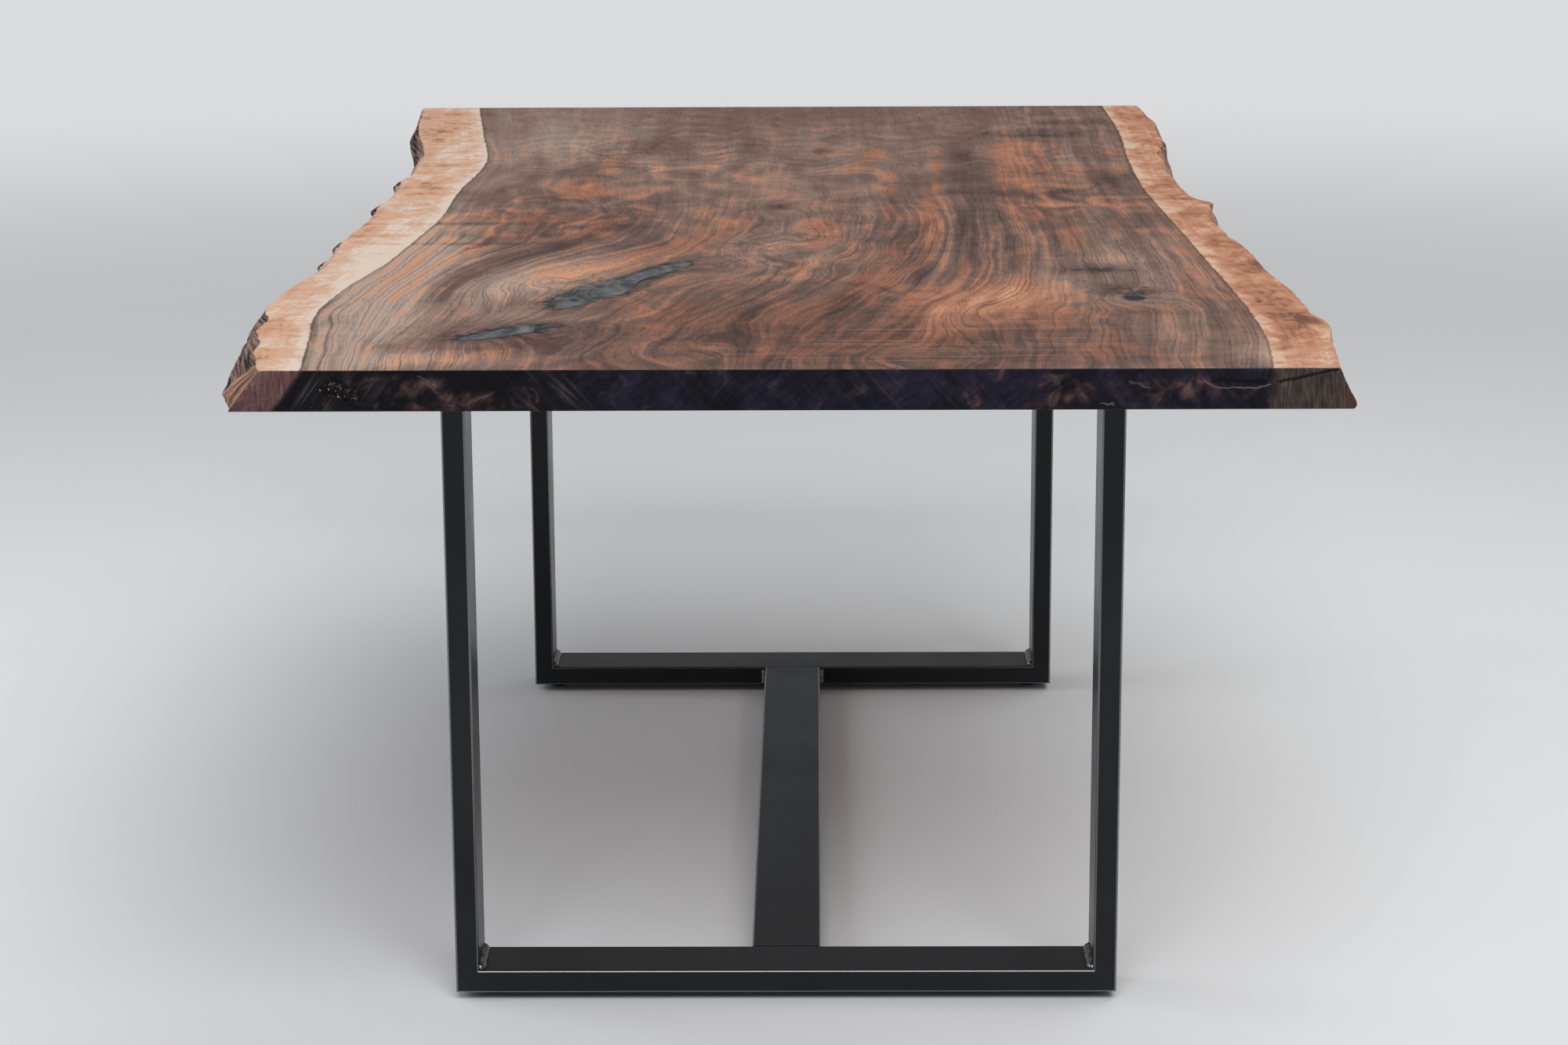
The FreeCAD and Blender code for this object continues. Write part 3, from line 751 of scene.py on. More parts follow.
@dataclass(frozen=True)
class EndGrainFinish:
    """The sawn ends: oiled end grain, nearly black, darkened further by painted shade and tinted navy by a
    painted reflection of blue sky, with red-brown clouds and paler sapwood.

    It reads what the slab carries: grain, edge and sawn (red, black and pale patches of the ends).
    """

    name: str = "walnut_end_grain"
    # Painted shade and sky reflection: these stops are darker than lit oiled end grain and tinted navy like a
    # reflected blue sky.
    heart: Stops = (
        (0.10, tone(0.0016, 0.0016, 0.003)), (0.36, tone(0.0058, 0.0054, 0.0125)),
        (0.58, tone(0.0140, 0.0115, 0.026)), (0.90, tone(0.055, 0.034, 0.044)),
    )
    red: Stops = (
        (0.25, tone(0.006, 0.0035, 0.0045)), (0.48, tone(0.040, 0.022, 0.023)),
        (0.80, tone(0.115, 0.064, 0.057)),
    )
    left_sap: Stops = (
        (0.15, tone(0.050, 0.022, 0.025)), (0.50, tone(0.138, 0.068, 0.068)),
        (0.90, tone(0.290, 0.165, 0.150)),
    )
    right_sap: Stops = (
        (0.15, tone(0.017, 0.011, 0.010)), (0.50, tone(0.060, 0.043, 0.037)),
        (0.90, tone(0.175, 0.128, 0.100)),
    )
    black: Colour = tone(0.0024, 0.0024, 0.0034)
    pale: Colour = tone(0.190, 0.145, 0.132)
    rim: Colour = tone(0.065, 0.024, 0.016)
    wander: Pattern = even(18.0, 3.0, 0.55)
    clouds: Pattern = even(15.0, 4.0, 0.6, 1.4)
    folds: Pattern = even(40.0, 2.0, 0.5, 1.3)
    rays: Pattern = Pattern((620.0, 1.0, 45.0), 3.0, 0.6)
    pores: Pattern = even(950.0, 1.0)
    specular: float = 0.11
    streaks: tuple[Streak, ...] = (
        Streak((-345, 757), (-328, 747), 1.0, 0.35), Streak((-338, 750), (-326, 741), 0.9, 0.30),
        Streak((306, 728), (318, 727), 1.2, 0.55), Streak((334, 750), (352, 743), 2.2, 0.25),
    )
    crack: tuple[Place, ...] = ((404, 751), (411, 745), (419, 743), (452, 743), (467, 746))

    def make(self) -> bpy.types.Material:
        """Lay out the material.

        Returns:
            The finished material.
        """
        sheet = NodeSheet(self.name)
        grain, edge, sawn = sheet.carried("grain"), sheet.carried("edge"), sheet.carried("sawn")
        x = sheet.split(sheet.place)[0]
        lines = sheet.flow(sheet.sway(grain[0], self.wander.draw(sheet), 10.0), grain[2], 0.9, 30.0, 4.0)
        clouds, folds, pores = (pattern.draw(sheet) for pattern in (self.clouds, self.folds, self.pores))
        level = sheet.sway(sheet.sway(0.40, lines, 0.9), clouds, 1.2)
        wood = sheet.blend(sheet.rise(x, -0.14, -0.26, 0.0, 0.75), sheet.ramp(level, self.heart), self.black)
        shells = sheet.sway(sheet.sway(0.46, lines, 0.6), folds, 1.6)
        redness = sheet.rise(sheet.sway(sheet.sway(sawn[0], clouds, 0.8), folds, 1.0), 0.05, 0.70)
        wood = sheet.blend(redness, wood, sheet.ramp(shells, self.red))
        right_hairs, left_hairs = sheet.slanted(-42.0, 130.0, 9.0), sheet.slanted(35.0, 260.0, 7.0)
        hairs = sheet.blend(sheet.rise(x, -0.34, -0.38), right_hairs, left_hairs)
        streaks = sheet.times(sheet.rise(hairs, 0.46, 0.78), sheet.math("ADD", sawn[2], 0.05))
        wood = sheet.blend(sheet.times(streaks, 0.50), wood, self.pale)
        sap_level = sheet.sway(sheet.sway(0.45, self.rays.draw(sheet), 1.2), clouds, 0.7)
        sap_level = sheet.sway(sap_level, lines, 0.5)
        side = sheet.rise(x, -0.1, 0.1)
        left, right = sheet.ramp(sap_level, self.left_sap), sheet.ramp(sap_level, self.right_sap)
        depth = sheet.sway(edge[0], clouds, 0.010)
        wood = sheet.blend(sheet.rise(depth, -0.003, 0.003), wood, sheet.blend(side, left, right))
        wood = sheet.blend(sheet.times(sheet.rise(depth, 0.058, 0.085), side, 0.8), wood, self.rim)
        blackened = sheet.rise(sheet.sway(sawn[1], clouds, 0.7), 0.25, 0.8, 0.0, 0.95)
        wood = self.checks(sheet, sheet.blend(blackened, wood, self.black))
        wood = sheet.blend(sheet.rise(pores, 0.60, 0.75, 0.0, 0.4), wood, self.black)
        oiled = sheet.rise(clouds, 0.3, 0.7, 0.30, 0.42)
        sheet.set(Base_Color=wood, Roughness=oiled, Specular_IOR_Level=self.specular)
        sheet.bump(sheet.math("ADD", lines, pores), 0.08, 0.4 * MM)
        return sheet.material

    def checks(self, sheet: NodeSheet, wood: Socket) -> Socket:
        """Draw the drying checks of the front end, with a painted shadow under the lip of the long check.

        Args:
            sheet: the material's sheet.
            wood: the colour so far.
        """
        front = sheet.rise(sheet.split(sheet.place)[1], 0.1, -0.1)
        # Painted shadow: a black band just above the long check, where its lip would shade the end.
        lip_shadow = sheet.stroke((412, 751), (462, 749), 3.6, 12.0)
        slash = sheet.stroke((476, 749), (540, 763), 2.2, 3.0)
        tail = sheet.stroke((-430, 748), (-402, 724), 4.5, 6.0)
        for mark in (lip_shadow, slash, tail):
            wood = sheet.blend(sheet.times(mark, front, 0.9), wood, self.black)
        for streak in self.streaks:
            mark = sheet.stroke(streak.start, streak.end, streak.width, 9.0)
            wood = sheet.blend(sheet.times(mark, front, streak.strength), wood, self.pale)
        for start, end in zip(self.crack, self.crack[1:]):
            mark = sheet.stroke(start, end, 0.9, 6.0)
            wood = sheet.blend(sheet.times(mark, front, 0.6), wood, self.pale)
        return wood


@dataclass(frozen=True)
class ResinFinish:
    """Dark cast resin over the rough wood of a void."""

    name: str = "dark_resin"
    # The grey upper stops are partly the resin's own cloudiness and partly painted reflection.
    body: Stops = (
        (0.36, tone(0.018, 0.0185, 0.020)), (0.52, tone(0.094, 0.098, 0.102)),
        (0.70, tone(0.175, 0.177, 0.177)),
    )
    fleck: Colour = tone(0.30, 0.26, 0.23)
    fleck_from: float = 0.64
    veins: Pattern = even(130.0, 3.0, 0.7, 1.0)
    clouds: Pattern = Pattern((38.0, 17.0, 38.0), 4.0, 0.62, 0.9)
    specular: float = 0.10

    def make(self) -> bpy.types.Material:
        """Lay out the material.

        Returns:
            The finished material.
        """
        sheet = NodeSheet(self.name)
        clouds, veins = self.clouds.draw(sheet), self.veins.draw(sheet)
        flecks = sheet.rise(veins, self.fleck_from, self.fleck_from + 0.1, 0.0, 0.75)
        sheet.set(
            Base_Color=sheet.blend(flecks, sheet.ramp(clouds, self.body), self.fleck),
            Roughness=sheet.rise(veins, 0.4, 0.7, 0.35, 0.55),
            Specular_IOR_Level=self.specular,
        )
        sheet.bump(clouds, 0.6, 1.6 * MM)
        return sheet.material


KNOT_RESIN = ResinFinish(
    name="knot_resin",
    body=(
        (0.46, tone(0.0012, 0.0012, 0.0015)), (0.57, tone(0.006, 0.004, 0.004)),
        (0.68, tone(0.060, 0.028, 0.022)),
    ),
    fleck=tone(0.60, 0.56, 0.54),
    fleck_from=0.59,
    veins=even(300.0, 3.0, 0.7, 1.0),
)


@dataclass(frozen=True)
class PowderCoatFinish:
    """Satin black powder coat with a fine orange peel, thin and shiny over rounded corners."""

    name: str = "black_powder_coat"
    # The coat's slight blue over its black is a painted reflection of a bluish floor.
    coat: Stops = ((0.35, tone(0.0062, 0.0068, 0.0080)), (0.65, tone(0.0106, 0.0114, 0.0132)))
    clouds: Pattern = even(9.0, 4.0, 0.6)
    peel: Pattern = even(420.0)
    specular: float = 0.24
    corner_roughness: float = 0.20
    corner_ior: float = 2.2

    def make(self) -> bpy.types.Material:
        """Lay out the material.

        Returns:
            The finished material.
        """
        sheet = NodeSheet(self.name)
        clouds = self.clouds.draw(sheet)
        across, along, up = sheet.facing()
        flat = sheet.math("MAXIMUM", sheet.math("MAXIMUM", across, along), up)
        sheet.set(
            Base_Color=sheet.ramp(clouds, self.coat),
            Roughness=sheet.rise(clouds, 0.3, 0.7, 0.28, 0.36),
            Specular_IOR_Level=self.specular,
            Coat_Weight=sheet.rise(flat, 0.985, 0.93),
            Coat_Roughness=self.corner_roughness,
            Coat_IOR=self.corner_ior,
        )
        sheet.bump(self.peel.draw(sheet), 0.05, 0.4 * MM)
        return sheet.material


@dataclass(frozen=True)
class ZincFinish:
    """Bright zinc plating with a faint spangle."""

    name: str = "bright_zinc"
    plate: Stops = ((0.35, tone(0.40, 0.40, 0.39)), (0.65, tone(0.62, 0.62, 0.60)))
    spangle: Pattern = even(260.0, 4.0, 0.6)
    turned: Pattern = Pattern((150.0, 150.0, 2600.0))

    def make(self) -> bpy.types.Material:
        """Lay out the material.

        Returns:
            The finished material.
        """
        sheet = NodeSheet(self.name)
        spangle = self.spangle.draw(sheet)
        sheet.set(
            Base_Color=sheet.ramp(spangle, self.plate),
            Metallic=1.0,
            Roughness=sheet.rise(spangle, 0.3, 0.7, 0.40, 0.26),
        )
        sheet.bump(self.turned.draw(sheet), 0.12, 0.2 * MM)
        return sheet.material


@dataclass(frozen=True)
class NylonFinish:
    """Moulded black nylon with a fine spark texture."""

    name: str = "black_nylon"
    moulded: Stops = ((0.45, tone(0.016, 0.016, 0.018)), (0.75, tone(0.045, 0.044, 0.043)))
    spark: Pattern = even(1500.0)
    scuffs: Pattern = even(140.0, 5.0, 0.7)

    def make(self) -> bpy.types.Material:
        """Lay out the material.

        Returns:
            The finished material.
        """
        sheet = NodeSheet(self.name)
        scuffs = self.scuffs.draw(sheet)
        sheet.set(
            Base_Color=sheet.ramp(scuffs, self.moulded),
            Roughness=sheet.rise(scuffs, 0.4, 0.7, 0.50, 0.66),
        )
        sheet.bump(self.spark.draw(sheet), 0.2, 0.2 * MM)
        return sheet.material


@dataclass(frozen=True)
class FloorFinish:
    """A plain pale studio floor, which runs out into an even pale backdrop far from the table.

    Attributes:
        name: the material's name.
        paint: the floor's paint.
        clouds: the paint's unevenness.
        roughness: how dull the paint is.
        backdrop: the colour that it runs out into.
        near: distance from the table where it starts to run out.
        far: distance where only the backdrop is left.
    """

    name: str = "pale_floor"
    paint: Stops = ((0.35, tone(0.80, 0.81, 0.82)), (0.65, tone(0.83, 0.838, 0.846)))
    clouds: Pattern = even(0.9, 4.0, 0.55)
    roughness: float = 0.8
    backdrop: Colour = tone(0.70, 0.71, 0.72)
    near: float = 2.0
    far: float = 7.0

    def make(self) -> bpy.types.Material:
        """Lay out the material.

        Returns:
            The finished material.
        """
        sheet = NodeSheet(self.name)
        sheet.set(Base_Color=sheet.ramp(self.clouds.draw(sheet), self.paint), Roughness=self.roughness)
        x, y, _ = sheet.split(sheet.place)
        away = sheet.rise(sheet.hypotenuse(x, y), self.near, self.far)
        sheet.run_out(sheet.times(sheet.showing(), away), self.backdrop)
        return sheet.material


@dataclass(frozen=True)
class EdgeStation:
    """One place along a natural edge, as shares of the slab's half length and half width.

    Attributes:
        along: place along the slab, from -1 at the front end to 1 at the rear.
        top: how far out the top face reaches.
        knee: how far out the widest line reaches, low on the edge.
        under: how far out the underside reaches.
    """

    along: float
    top: float
    knee: float
    under: float


@dataclass(frozen=True)
class EdgeLump:
    """A knob, pit or notch on a natural edge, in millimetres.

    Attributes:
        along: place along the slab, from its middle towards the rear.
        drop: depth of its centre below the top face.
        half_length: its reach along the edge.
        half_height: its reach up and down.
        rise: how far it stands out, or in if it is below zero.
        dark: how much of it is covered by black bark.
    """

    along: float
    drop: float
    half_length: float
    half_height: float
    rise: float
    dark: float = 1.0

    def weight(self, along: np.ndarray, drop: np.ndarray) -> np.ndarray:
        """Give the lump's share at places along and down the edge, in metres."""
        lengthwise = (along / MM - self.along) / self.half_length
        return np.exp(-(lengthwise**2) - ((drop / MM - self.drop) / self.half_height) ** 2)


@dataclass(frozen=True)
class BarkStretch:
    """A stretch of a natural edge that keeps its bark, in millimetres along the slab.

    Attributes:
        start: where it starts.
        end: where it ends.
        fade: how far it fades at either end.
        strength: how much of the bark is left, from 0 to 1.
    """

    start: float
    end: float
    fade: float
    strength: float = 1.0

    def cover(self, along: np.ndarray) -> np.ndarray:
        """Give the bark's cover at places along the edge, in metres."""
        rise = self.strength * smooth_step(self.start - self.fade, self.start + self.fade, along / MM)
        return rise * (1 - smooth_step(self.end - self.fade, self.end + self.fade, along / MM))


@dataclass(frozen=True)
class LiveEdge:
    """One natural edge of the slab.

    Attributes:
        side: the side it is on.
        knee_share: depth of its widest line, as a share of the thickness.
        ridge: height of its bark's ridges, in millimetres.
        round_over: radius of its bare top edge, in millimetres.
        stations: its outline.
        lumps: its knobs, pits and notches.
        bark: the stretches that keep their bark.
    """

    side: Side
    knee_share: float
    ridge: float
    round_over: float
    stations: tuple[EdgeStation, ...]
    lumps: tuple[EdgeLump, ...]
    bark: tuple[BarkStretch, ...]


LEFT_EDGE = LiveEdge(
    side=Side.LEFT,
    knee_share=0.7,
    ridge=2.8,
    round_over=4.0,
    stations=(
        EdgeStation(-1.000, 0.892, 0.974, 0.949), EdgeStation(-0.925, 0.912, 0.976, 0.953),
        EdgeStation(-0.830, 0.933, 0.987, 0.964), EdgeStation(-0.740, 0.946, 0.994, 0.973),
        EdgeStation(-0.640, 0.960, 1.000, 0.978), EdgeStation(-0.530, 0.944, 0.996, 0.976),
        EdgeStation(-0.370, 0.904, 0.951, 0.933), EdgeStation(-0.210, 0.908, 0.942, 0.924),
        EdgeStation(-0.050, 0.885, 0.924, 0.906), EdgeStation(0.110, 0.876, 0.913, 0.895),
        EdgeStation(0.270, 0.867, 0.904, 0.886), EdgeStation(0.430, 0.861, 0.897, 0.879),
        EdgeStation(0.560, 0.874, 0.904, 0.888), EdgeStation(0.690, 0.908, 0.933, 0.915),
        EdgeStation(0.850, 0.937, 0.960, 0.942), EdgeStation(1.000, 0.956, 0.976, 0.958),
    ),
    lumps=(
        EdgeLump(-735, 0, 26, 9, 3, 0.0), EdgeLump(-800, 2, 22, 10, -4, 0.3),
        EdgeLump(-668, 2, 26, 10, -4, 0.3), EdgeLump(-850, 0, 18, 8, 3, 0.0),
        EdgeLump(-318, 9, 10, 8, 8, 0.55), EdgeLump(-282, 15, 12, 9, 7, 0.5),
        EdgeLump(-200, 9, 9, 8, 8, 0.6), EdgeLump(68, 9, 11, 8, 9, 0.6), EdgeLump(262, 9, 12, 8, 9, 0.6),
        EdgeLump(430, 12, 30, 12, 4, 0.3), EdgeLump(570, 14, 50, 14, 4, 0.4),
        EdgeLump(720, 14, 50, 14, 5, 0.4), EdgeLump(-60, 18, 50, 9, 3, 0.3),
        EdgeLump(160, 20, 45, 9, 4, 0.5),
    ),
    bark=(
        BarkStretch(-1200, -620, 130), BarkStretch(480, 890, 120), BarkStretch(-340, -160, 60, 0.42),
        BarkStretch(40, 100, 40, 0.42), BarkStretch(230, 300, 50, 0.44), BarkStretch(400, 500, 50, 0.48),
    ),
)
RIGHT_EDGE = LiveEdge(
    side=Side.RIGHT,
    knee_share=0.9,
    ridge=1.8,
    round_over=2.5,
    stations=(
        EdgeStation(-1.000, 0.959, 0.990, 0.984), EdgeStation(-0.910, 0.970, 0.993, 0.986),
        EdgeStation(-0.820, 0.981, 0.997, 0.988), EdgeStation(-0.755, 0.991, 1.000, 0.991),
        EdgeStation(-0.690, 0.977, 0.993, 0.984), EdgeStation(-0.580, 0.968, 0.988, 0.979),
        EdgeStation(-0.430, 0.943, 0.968, 0.958), EdgeStation(-0.270, 0.927, 0.952, 0.942),
        EdgeStation(-0.120, 0.903, 0.932, 0.922), EdgeStation(-0.030, 0.898, 0.927, 0.917),
        EdgeStation(0.045, 0.920, 0.941, 0.931), EdgeStation(0.110, 0.889, 0.918, 0.908),
        EdgeStation(0.220, 0.876, 0.907, 0.896), EdgeStation(0.370, 0.866, 0.896, 0.886),
        EdgeStation(0.540, 0.885, 0.914, 0.904), EdgeStation(0.720, 0.903, 0.930, 0.920),
        EdgeStation(0.815, 0.912, 0.939, 0.929), EdgeStation(0.905, 0.900, 0.927, 0.916),
        EdgeStation(1.000, 0.893, 0.921, 0.911),
    ),
    lumps=(
        EdgeLump(36, 6, 14, 6, -9, 0.4), EdgeLump(58, 2, 10, 7, 5, 0.0), EdgeLump(300, 6, 20, 6, -5, 0.3),
        EdgeLump(470, 6, 30, 7, -8, 0.25), EdgeLump(535, 8, 16, 9, -6, 0.35),
        EdgeLump(600, 9, 24, 8, 6, 0.2), EdgeLump(706, 7, 26, 6, -8, 0.3),
        EdgeLump(650, 10, 12, 8, -5, 0.1), EdgeLump(-655, 2, 22, 9, -4, 0.2),
        EdgeLump(-190, 2, 16, 8, -3, 0.1), EdgeLump(-60, 2, 14, 8, -3, 0.1),
        EdgeLump(-820, 14, 60, 8, -4, 0.1), EdgeLump(-900, 16, 30, 8, -3, 0.1),
    ),
    bark=(
        BarkStretch(440, 730, 40, 0.52), BarkStretch(10, 70, 20, 0.46), BarkStretch(240, 340, 40, 0.42),
        BarkStretch(-1000, -780, 60, 0.40),
    ),
)


@dataclass(frozen=True)
class GrainLine:
    """A line that the rings follow along the slab, in millimetres across it at each grain station."""

    ring: float
    across: tuple[float, ...]


GRAIN_STATIONS = (-935, -800, -650, -500, -350, -200, -50, 150, 400, 650, 935)
GRAIN_LINES = (
    GrainLine(0, (-458, -468, -480, -467, -441, -425, -411, -408, -395, -420, -451)),
    GrainLine(10, (-420, -428, -438, -428, -400, -385, -375, -370, -360, -375, -395)),
    GrainLine(25, (-395, -392, -378, -360, -325, -255, -215, -225, -235, -245, -250)),
    GrainLine(41, (-335, -330, -300, -290, -225, -150, -130, -140, -150, -155, -160)),
    GrainLine(60, (-260, -255, -240, -180, -110, -75, -60, -60, -65, -70, -75)),
    GrainLine(71, (-150, -150, -130, -90, -45, -20, -5, 0, 5, 10, 10)),
    GrainLine(83, (-60, -50, -40, 0, 30, 45, 55, 60, 70, 75, 75)),
    GrainLine(102, (0, 20, 55, 100, 143, 158, 165, 150, 140, 135, 130)),
    GrainLine(114, (90, 110, 150, 190, 205, 212, 215, 215, 220, 215, 210)),
    GrainLine(127, (200, 215, 240, 262, 272, 275, 272, 265, 270, 275, 270)),
    GrainLine(145, (330, 340, 350, 355, 360, 355, 350, 345, 345, 350, 350)),
    GrainLine(169, (470, 480, 480, 474, 466, 459, 451, 441, 441, 449, 446)),
)
RING_WIDTH_IN_SAPWOOD = 5.0 * MM


@dataclass(frozen=True)
class Stain:
    """A soft oval patch of the figure, in millimetres on the face that it is on.

    Attributes:
        across: place across the face, from the slab's middle to the right.
        along: place along the top from the slab's middle to the rear, or up an end from the floor.
        half_width: reach across its own length.
        half_length: reach along its own length.
        strength: how strong it is.
        turn: degrees that its length leans to the right.
    """

    across: float
    along: float
    half_width: float
    half_length: float
    strength: float
    turn: float = 0.0

    def weight(self, across: np.ndarray, along: np.ndarray) -> np.ndarray:
        """Give the patch's strength at places across and along the face, in metres.

        Args:
            across: places across the face.
            along: places along it.

        Returns:
            The strength at each place.
        """
        lean = math.radians(self.turn)
        dx = across / MM - self.across
        dy = along / MM - self.along
        side = (dx * math.cos(lean) - dy * math.sin(lean)) / self.half_width
        length = (dx * math.sin(lean) + dy * math.cos(lean)) / self.half_length
        return self.strength * np.exp(-(side**2 + length**2))


def total(stains: Sequence[Stain], across: np.ndarray, along: np.ndarray) -> np.ndarray:
    """Add up the strengths of stains at places across and along a face, in metres."""
    return sum(stain.weight(across, along) for stain in stains)


WARM_STAINS = (
    Stain(120, -720, 330, 270, 0.38), Stain(20, -250, 240, 260, 0.26), Stain(320, 120, 160, 420, 0.14),
    Stain(226, 300, 24, 330, -0.40), Stain(296, 330, 9, 260, 0.5), Stain(326, 420, 8, 180, 0.4),
    Stain(-225, 595, 18, 30, 0.5), Stain(-230, 395, 20, 80, 0.7), Stain(-246, 190, 26, 95, 0.60),
    Stain(-262, 126, 52, 28, 0.55), Stain(-145, 455, 8, 70, 0.35), Stain(-45, 565, 22, 30, 0.3),
    Stain(108, 455, 14, 62, 0.8, 8), Stain(90, 345, 10, 70, 0.5, 8), Stain(196, 420, 7, 220, 0.45, 3),
    Stain(125, 140, 12, 180, 0.55, 2), Stain(176, 130, 13, 170, 0.6, 2), Stain(165, -55, 14, 70, 0.5),
    Stain(290, 385, 28, 180, 0.45), Stain(355, 535, 12, 70, 0.7), Stain(375, 325, 45, 22, 0.5),
    Stain(400, 470, 42, 18, 0.35), Stain(265, 145, 10, 160, 0.5), Stain(345, 40, 95, 18, 0.8),
    Stain(300, -30, 36, 60, 0.4), Stain(-320, -20, 85, 36, 0.5), Stain(-285, -70, 60, 50, 0.45),
    Stain(-215, -130, 18, 40, 0.6, 20), Stain(-300, -180, 52, 34, 0.55),
    Stain(-362, -280, 14, 110, 0.6, 14), Stain(-420, -430, 10, 120, 0.25, 8),
    Stain(-250, -430, 42, 90, 0.5, 25), Stain(-130, -240, 30, 85, 0.6, 28),
    Stain(-55, -75, 16, 70, 0.45, 8), Stain(40, -130, 14, 100, 0.45, 4),
    Stain(128, -260, 14, 100, 0.45, 5), Stain(165, -150, 10, 130, 0.45),
    Stain(190, -605, 58, 105, 1.0, 12), Stain(215, -410, 20, 70, 0.5, 4),
    Stain(98, -470, 20, 70, 0.5, 14), Stain(175, -750, 26, 50, 0.6, 12), Stain(330, -180, 10, 130, 0.5),
    Stain(400, -130, 26, 45, 0.45), Stain(310, -280, 9, 110, 0.4), Stain(40, -640, 10, 100, 0.4, 12),
    Stain(72, -830, 26, 60, 0.35, 20), Stain(-40, -690, 16, 55, 0.4), Stain(-110, -650, 16, 70, 0.4, 15),
    Stain(-260, -810, 60, 28, 0.4, -60), Stain(432, -480, 13, 140, 0.4), Stain(268, -690, 26, 70, 0.4, 8),
    Stain(-20, -880, 40, 26, 0.3), Stain(-170, -900, 50, 24, 0.3), Stain(330, -840, 30, 60, 0.3),
    Stain(-345, -885, 60, 45, 0.4), Stain(162, -645, 9, 62, 0.5, 12), Stain(200, -600, 9, 72, 0.6, 14),
    Stain(232, -560, 9, 58, 0.5, 14), Stain(142, -560, 8, 60, 0.5, 14), Stain(250, -660, 9, 50, 0.4, 10),
    Stain(-455, 640, 20, 36, 0.5), Stain(-500, -330, 16, 130, 0.5, 10), Stain(-490, -150, 16, 180, 0.5),
    Stain(-520, -700, 18, 150, 0.35), Stain(-480, 150, 14, 260, 0.4), Stain(380, -450, 70, 150, -0.20),
    Stain(500, -300, 40, 300, 0.60),
)
SHADE_STAINS = (
    Stain(-425, -650, 60, 330, 0.66), Stain(-392, -330, 48, 150, 0.48, 12),
    Stain(-265, -450, 66, 150, 0.50, 22), Stain(-330, -885, 110, 55, 0.26),
    Stain(-395, 100, 36, 260, 0.18), Stain(-425, 760, 36, 200, 0.22), Stain(330, -480, 120, 170, 0.24),
    Stain(-20, -290, 110, 200, 0.13), Stain(0, 100, 420, 300, 0.05), Stain(-280, -480, 70, 120, 0.08, 20),
    Stain(-250, -660, 80, 46, 0.26), Stain(0, 500, 420, 420, 0.11), Stain(-320, 690, 120, 330, 0.30),
    Stain(400, -760, 70, 130, 0.12), Stain(260, 720, 160, 160, 0.06), Stain(-20, 760, 300, 210, -0.05),
    Stain(40, -760, 280, 200, -0.20), Stain(162, -645, 9, 62, 0.22, 12),
    Stain(200, -600, 9, 72, 0.26, 14), Stain(232, -560, 9, 58, 0.22, 14),
    Stain(181, -622, 6, 66, -0.20, 13), Stain(217, -580, 6, 66, -0.20, 14),
    Stain(-345, -880, 60, 45, 0.16), Stain(192, -600, 56, 110, 0.38, 12), Stain(385, -330, 60, 200, 0.10),
    Stain(175, -750, 26, 50, 0.18, 12), Stain(345, 40, 95, 18, 0.18), Stain(226, 300, 24, 330, -0.30),
    Stain(360, 470, 14, 130, 0.16), Stain(-20, -280, 60, 130, 0.05, 6), Stain(45, 495, 15, 24, -0.40),
    Stain(-10, 32, 17, 22, -0.35), Stain(314, 287, 14, 16, -0.22), Stain(-195, -40, 30, 110, -0.20, 14),
    Stain(-245, -210, 28, 80, -0.18, 32), Stain(-305, -310, 26, 75, -0.20, 34),
    Stain(-350, -430, 18, 90, -0.24, 12), Stain(-362, -550, 16, 80, -0.22, -6),
    Stain(345, -400, 46, 36, -0.30), Stain(368, -500, 50, 70, -0.22), Stain(378, -645, 42, 28, -0.18),
    Stain(-385, -825, 26, 36, -0.26), Stain(320, 130, 58, 55, -0.20), Stain(400, 250, 38, 55, -0.15),
    Stain(420, -60, 18, 60, -0.15), Stain(-355, -224, 60, 9, -0.32), Stain(-365, -84, 60, 8, -0.25),
    Stain(128, -20, 9, 110, -0.2), Stain(330, 645, 62, 36, -0.25), Stain(410, 765, 60, 34, -0.18),
    Stain(-50, -770, 36, 50, -0.06), Stain(250, -880, 90, 34, -0.12), Stain(64, -600, 12, 130, -0.22, 12),
    Stain(150, -330, 9, 120, -0.22, 4), Stain(210, -180, 9, 160, -0.2), Stain(262, -380, 14, 160, -0.14),
    Stain(-300, 300, 60, 120, -0.05), Stain(-465, -82, 50, 8, -0.8), Stain(-455, -222, 40, 7, -0.7),
    Stain(-440, 380, 16, 16, -0.9), Stain(-460, 700, 60, 60, -0.35), Stain(-470, 800, 60, 80, -0.35),
    Stain(532, -690, 15, 44, -1.3, -12), Stain(518, -735, 10, 26, -0.9, -20),
    Stain(-470, -330, 45, 150, 0.7), Stain(-440, -120, 40, 160, 0.4), Stain(545, -560, 14, 60, -0.4),
    Stain(500, -180, 34, 7, -0.6), Stain(482, 85, 40, 8, -0.8), Stain(505, -870, 46, 70, 0.6),
)
WAVY_STAINS = (
    Stain(-20, -280, 95, 190, 0.9, 6), Stain(-270, -440, 80, 180, 0.4, 22),
    Stain(-300, -790, 120, 110, 0.45), Stain(-90, -760, 120, 150, 0.40), Stain(370, -520, 70, 130, 0.35),
    Stain(190, -640, 80, 150, 0.25), Stain(-430, -760, 50, 200, 0.22), Stain(200, -880, 220, 80, 0.25),
    Stain(-310, -100, 90, 140, 0.30), Stain(330, 60, 110, 70, 0.2),
)
PLANER_MARKS = (
    Stain(230, -760, 200, 150, 0.9), Stain(60, -860, 160, 70, 0.6), Stain(500, -850, 60, 90, 0.4),
    Stain(330, -560, 120, 80, 0.35),
)
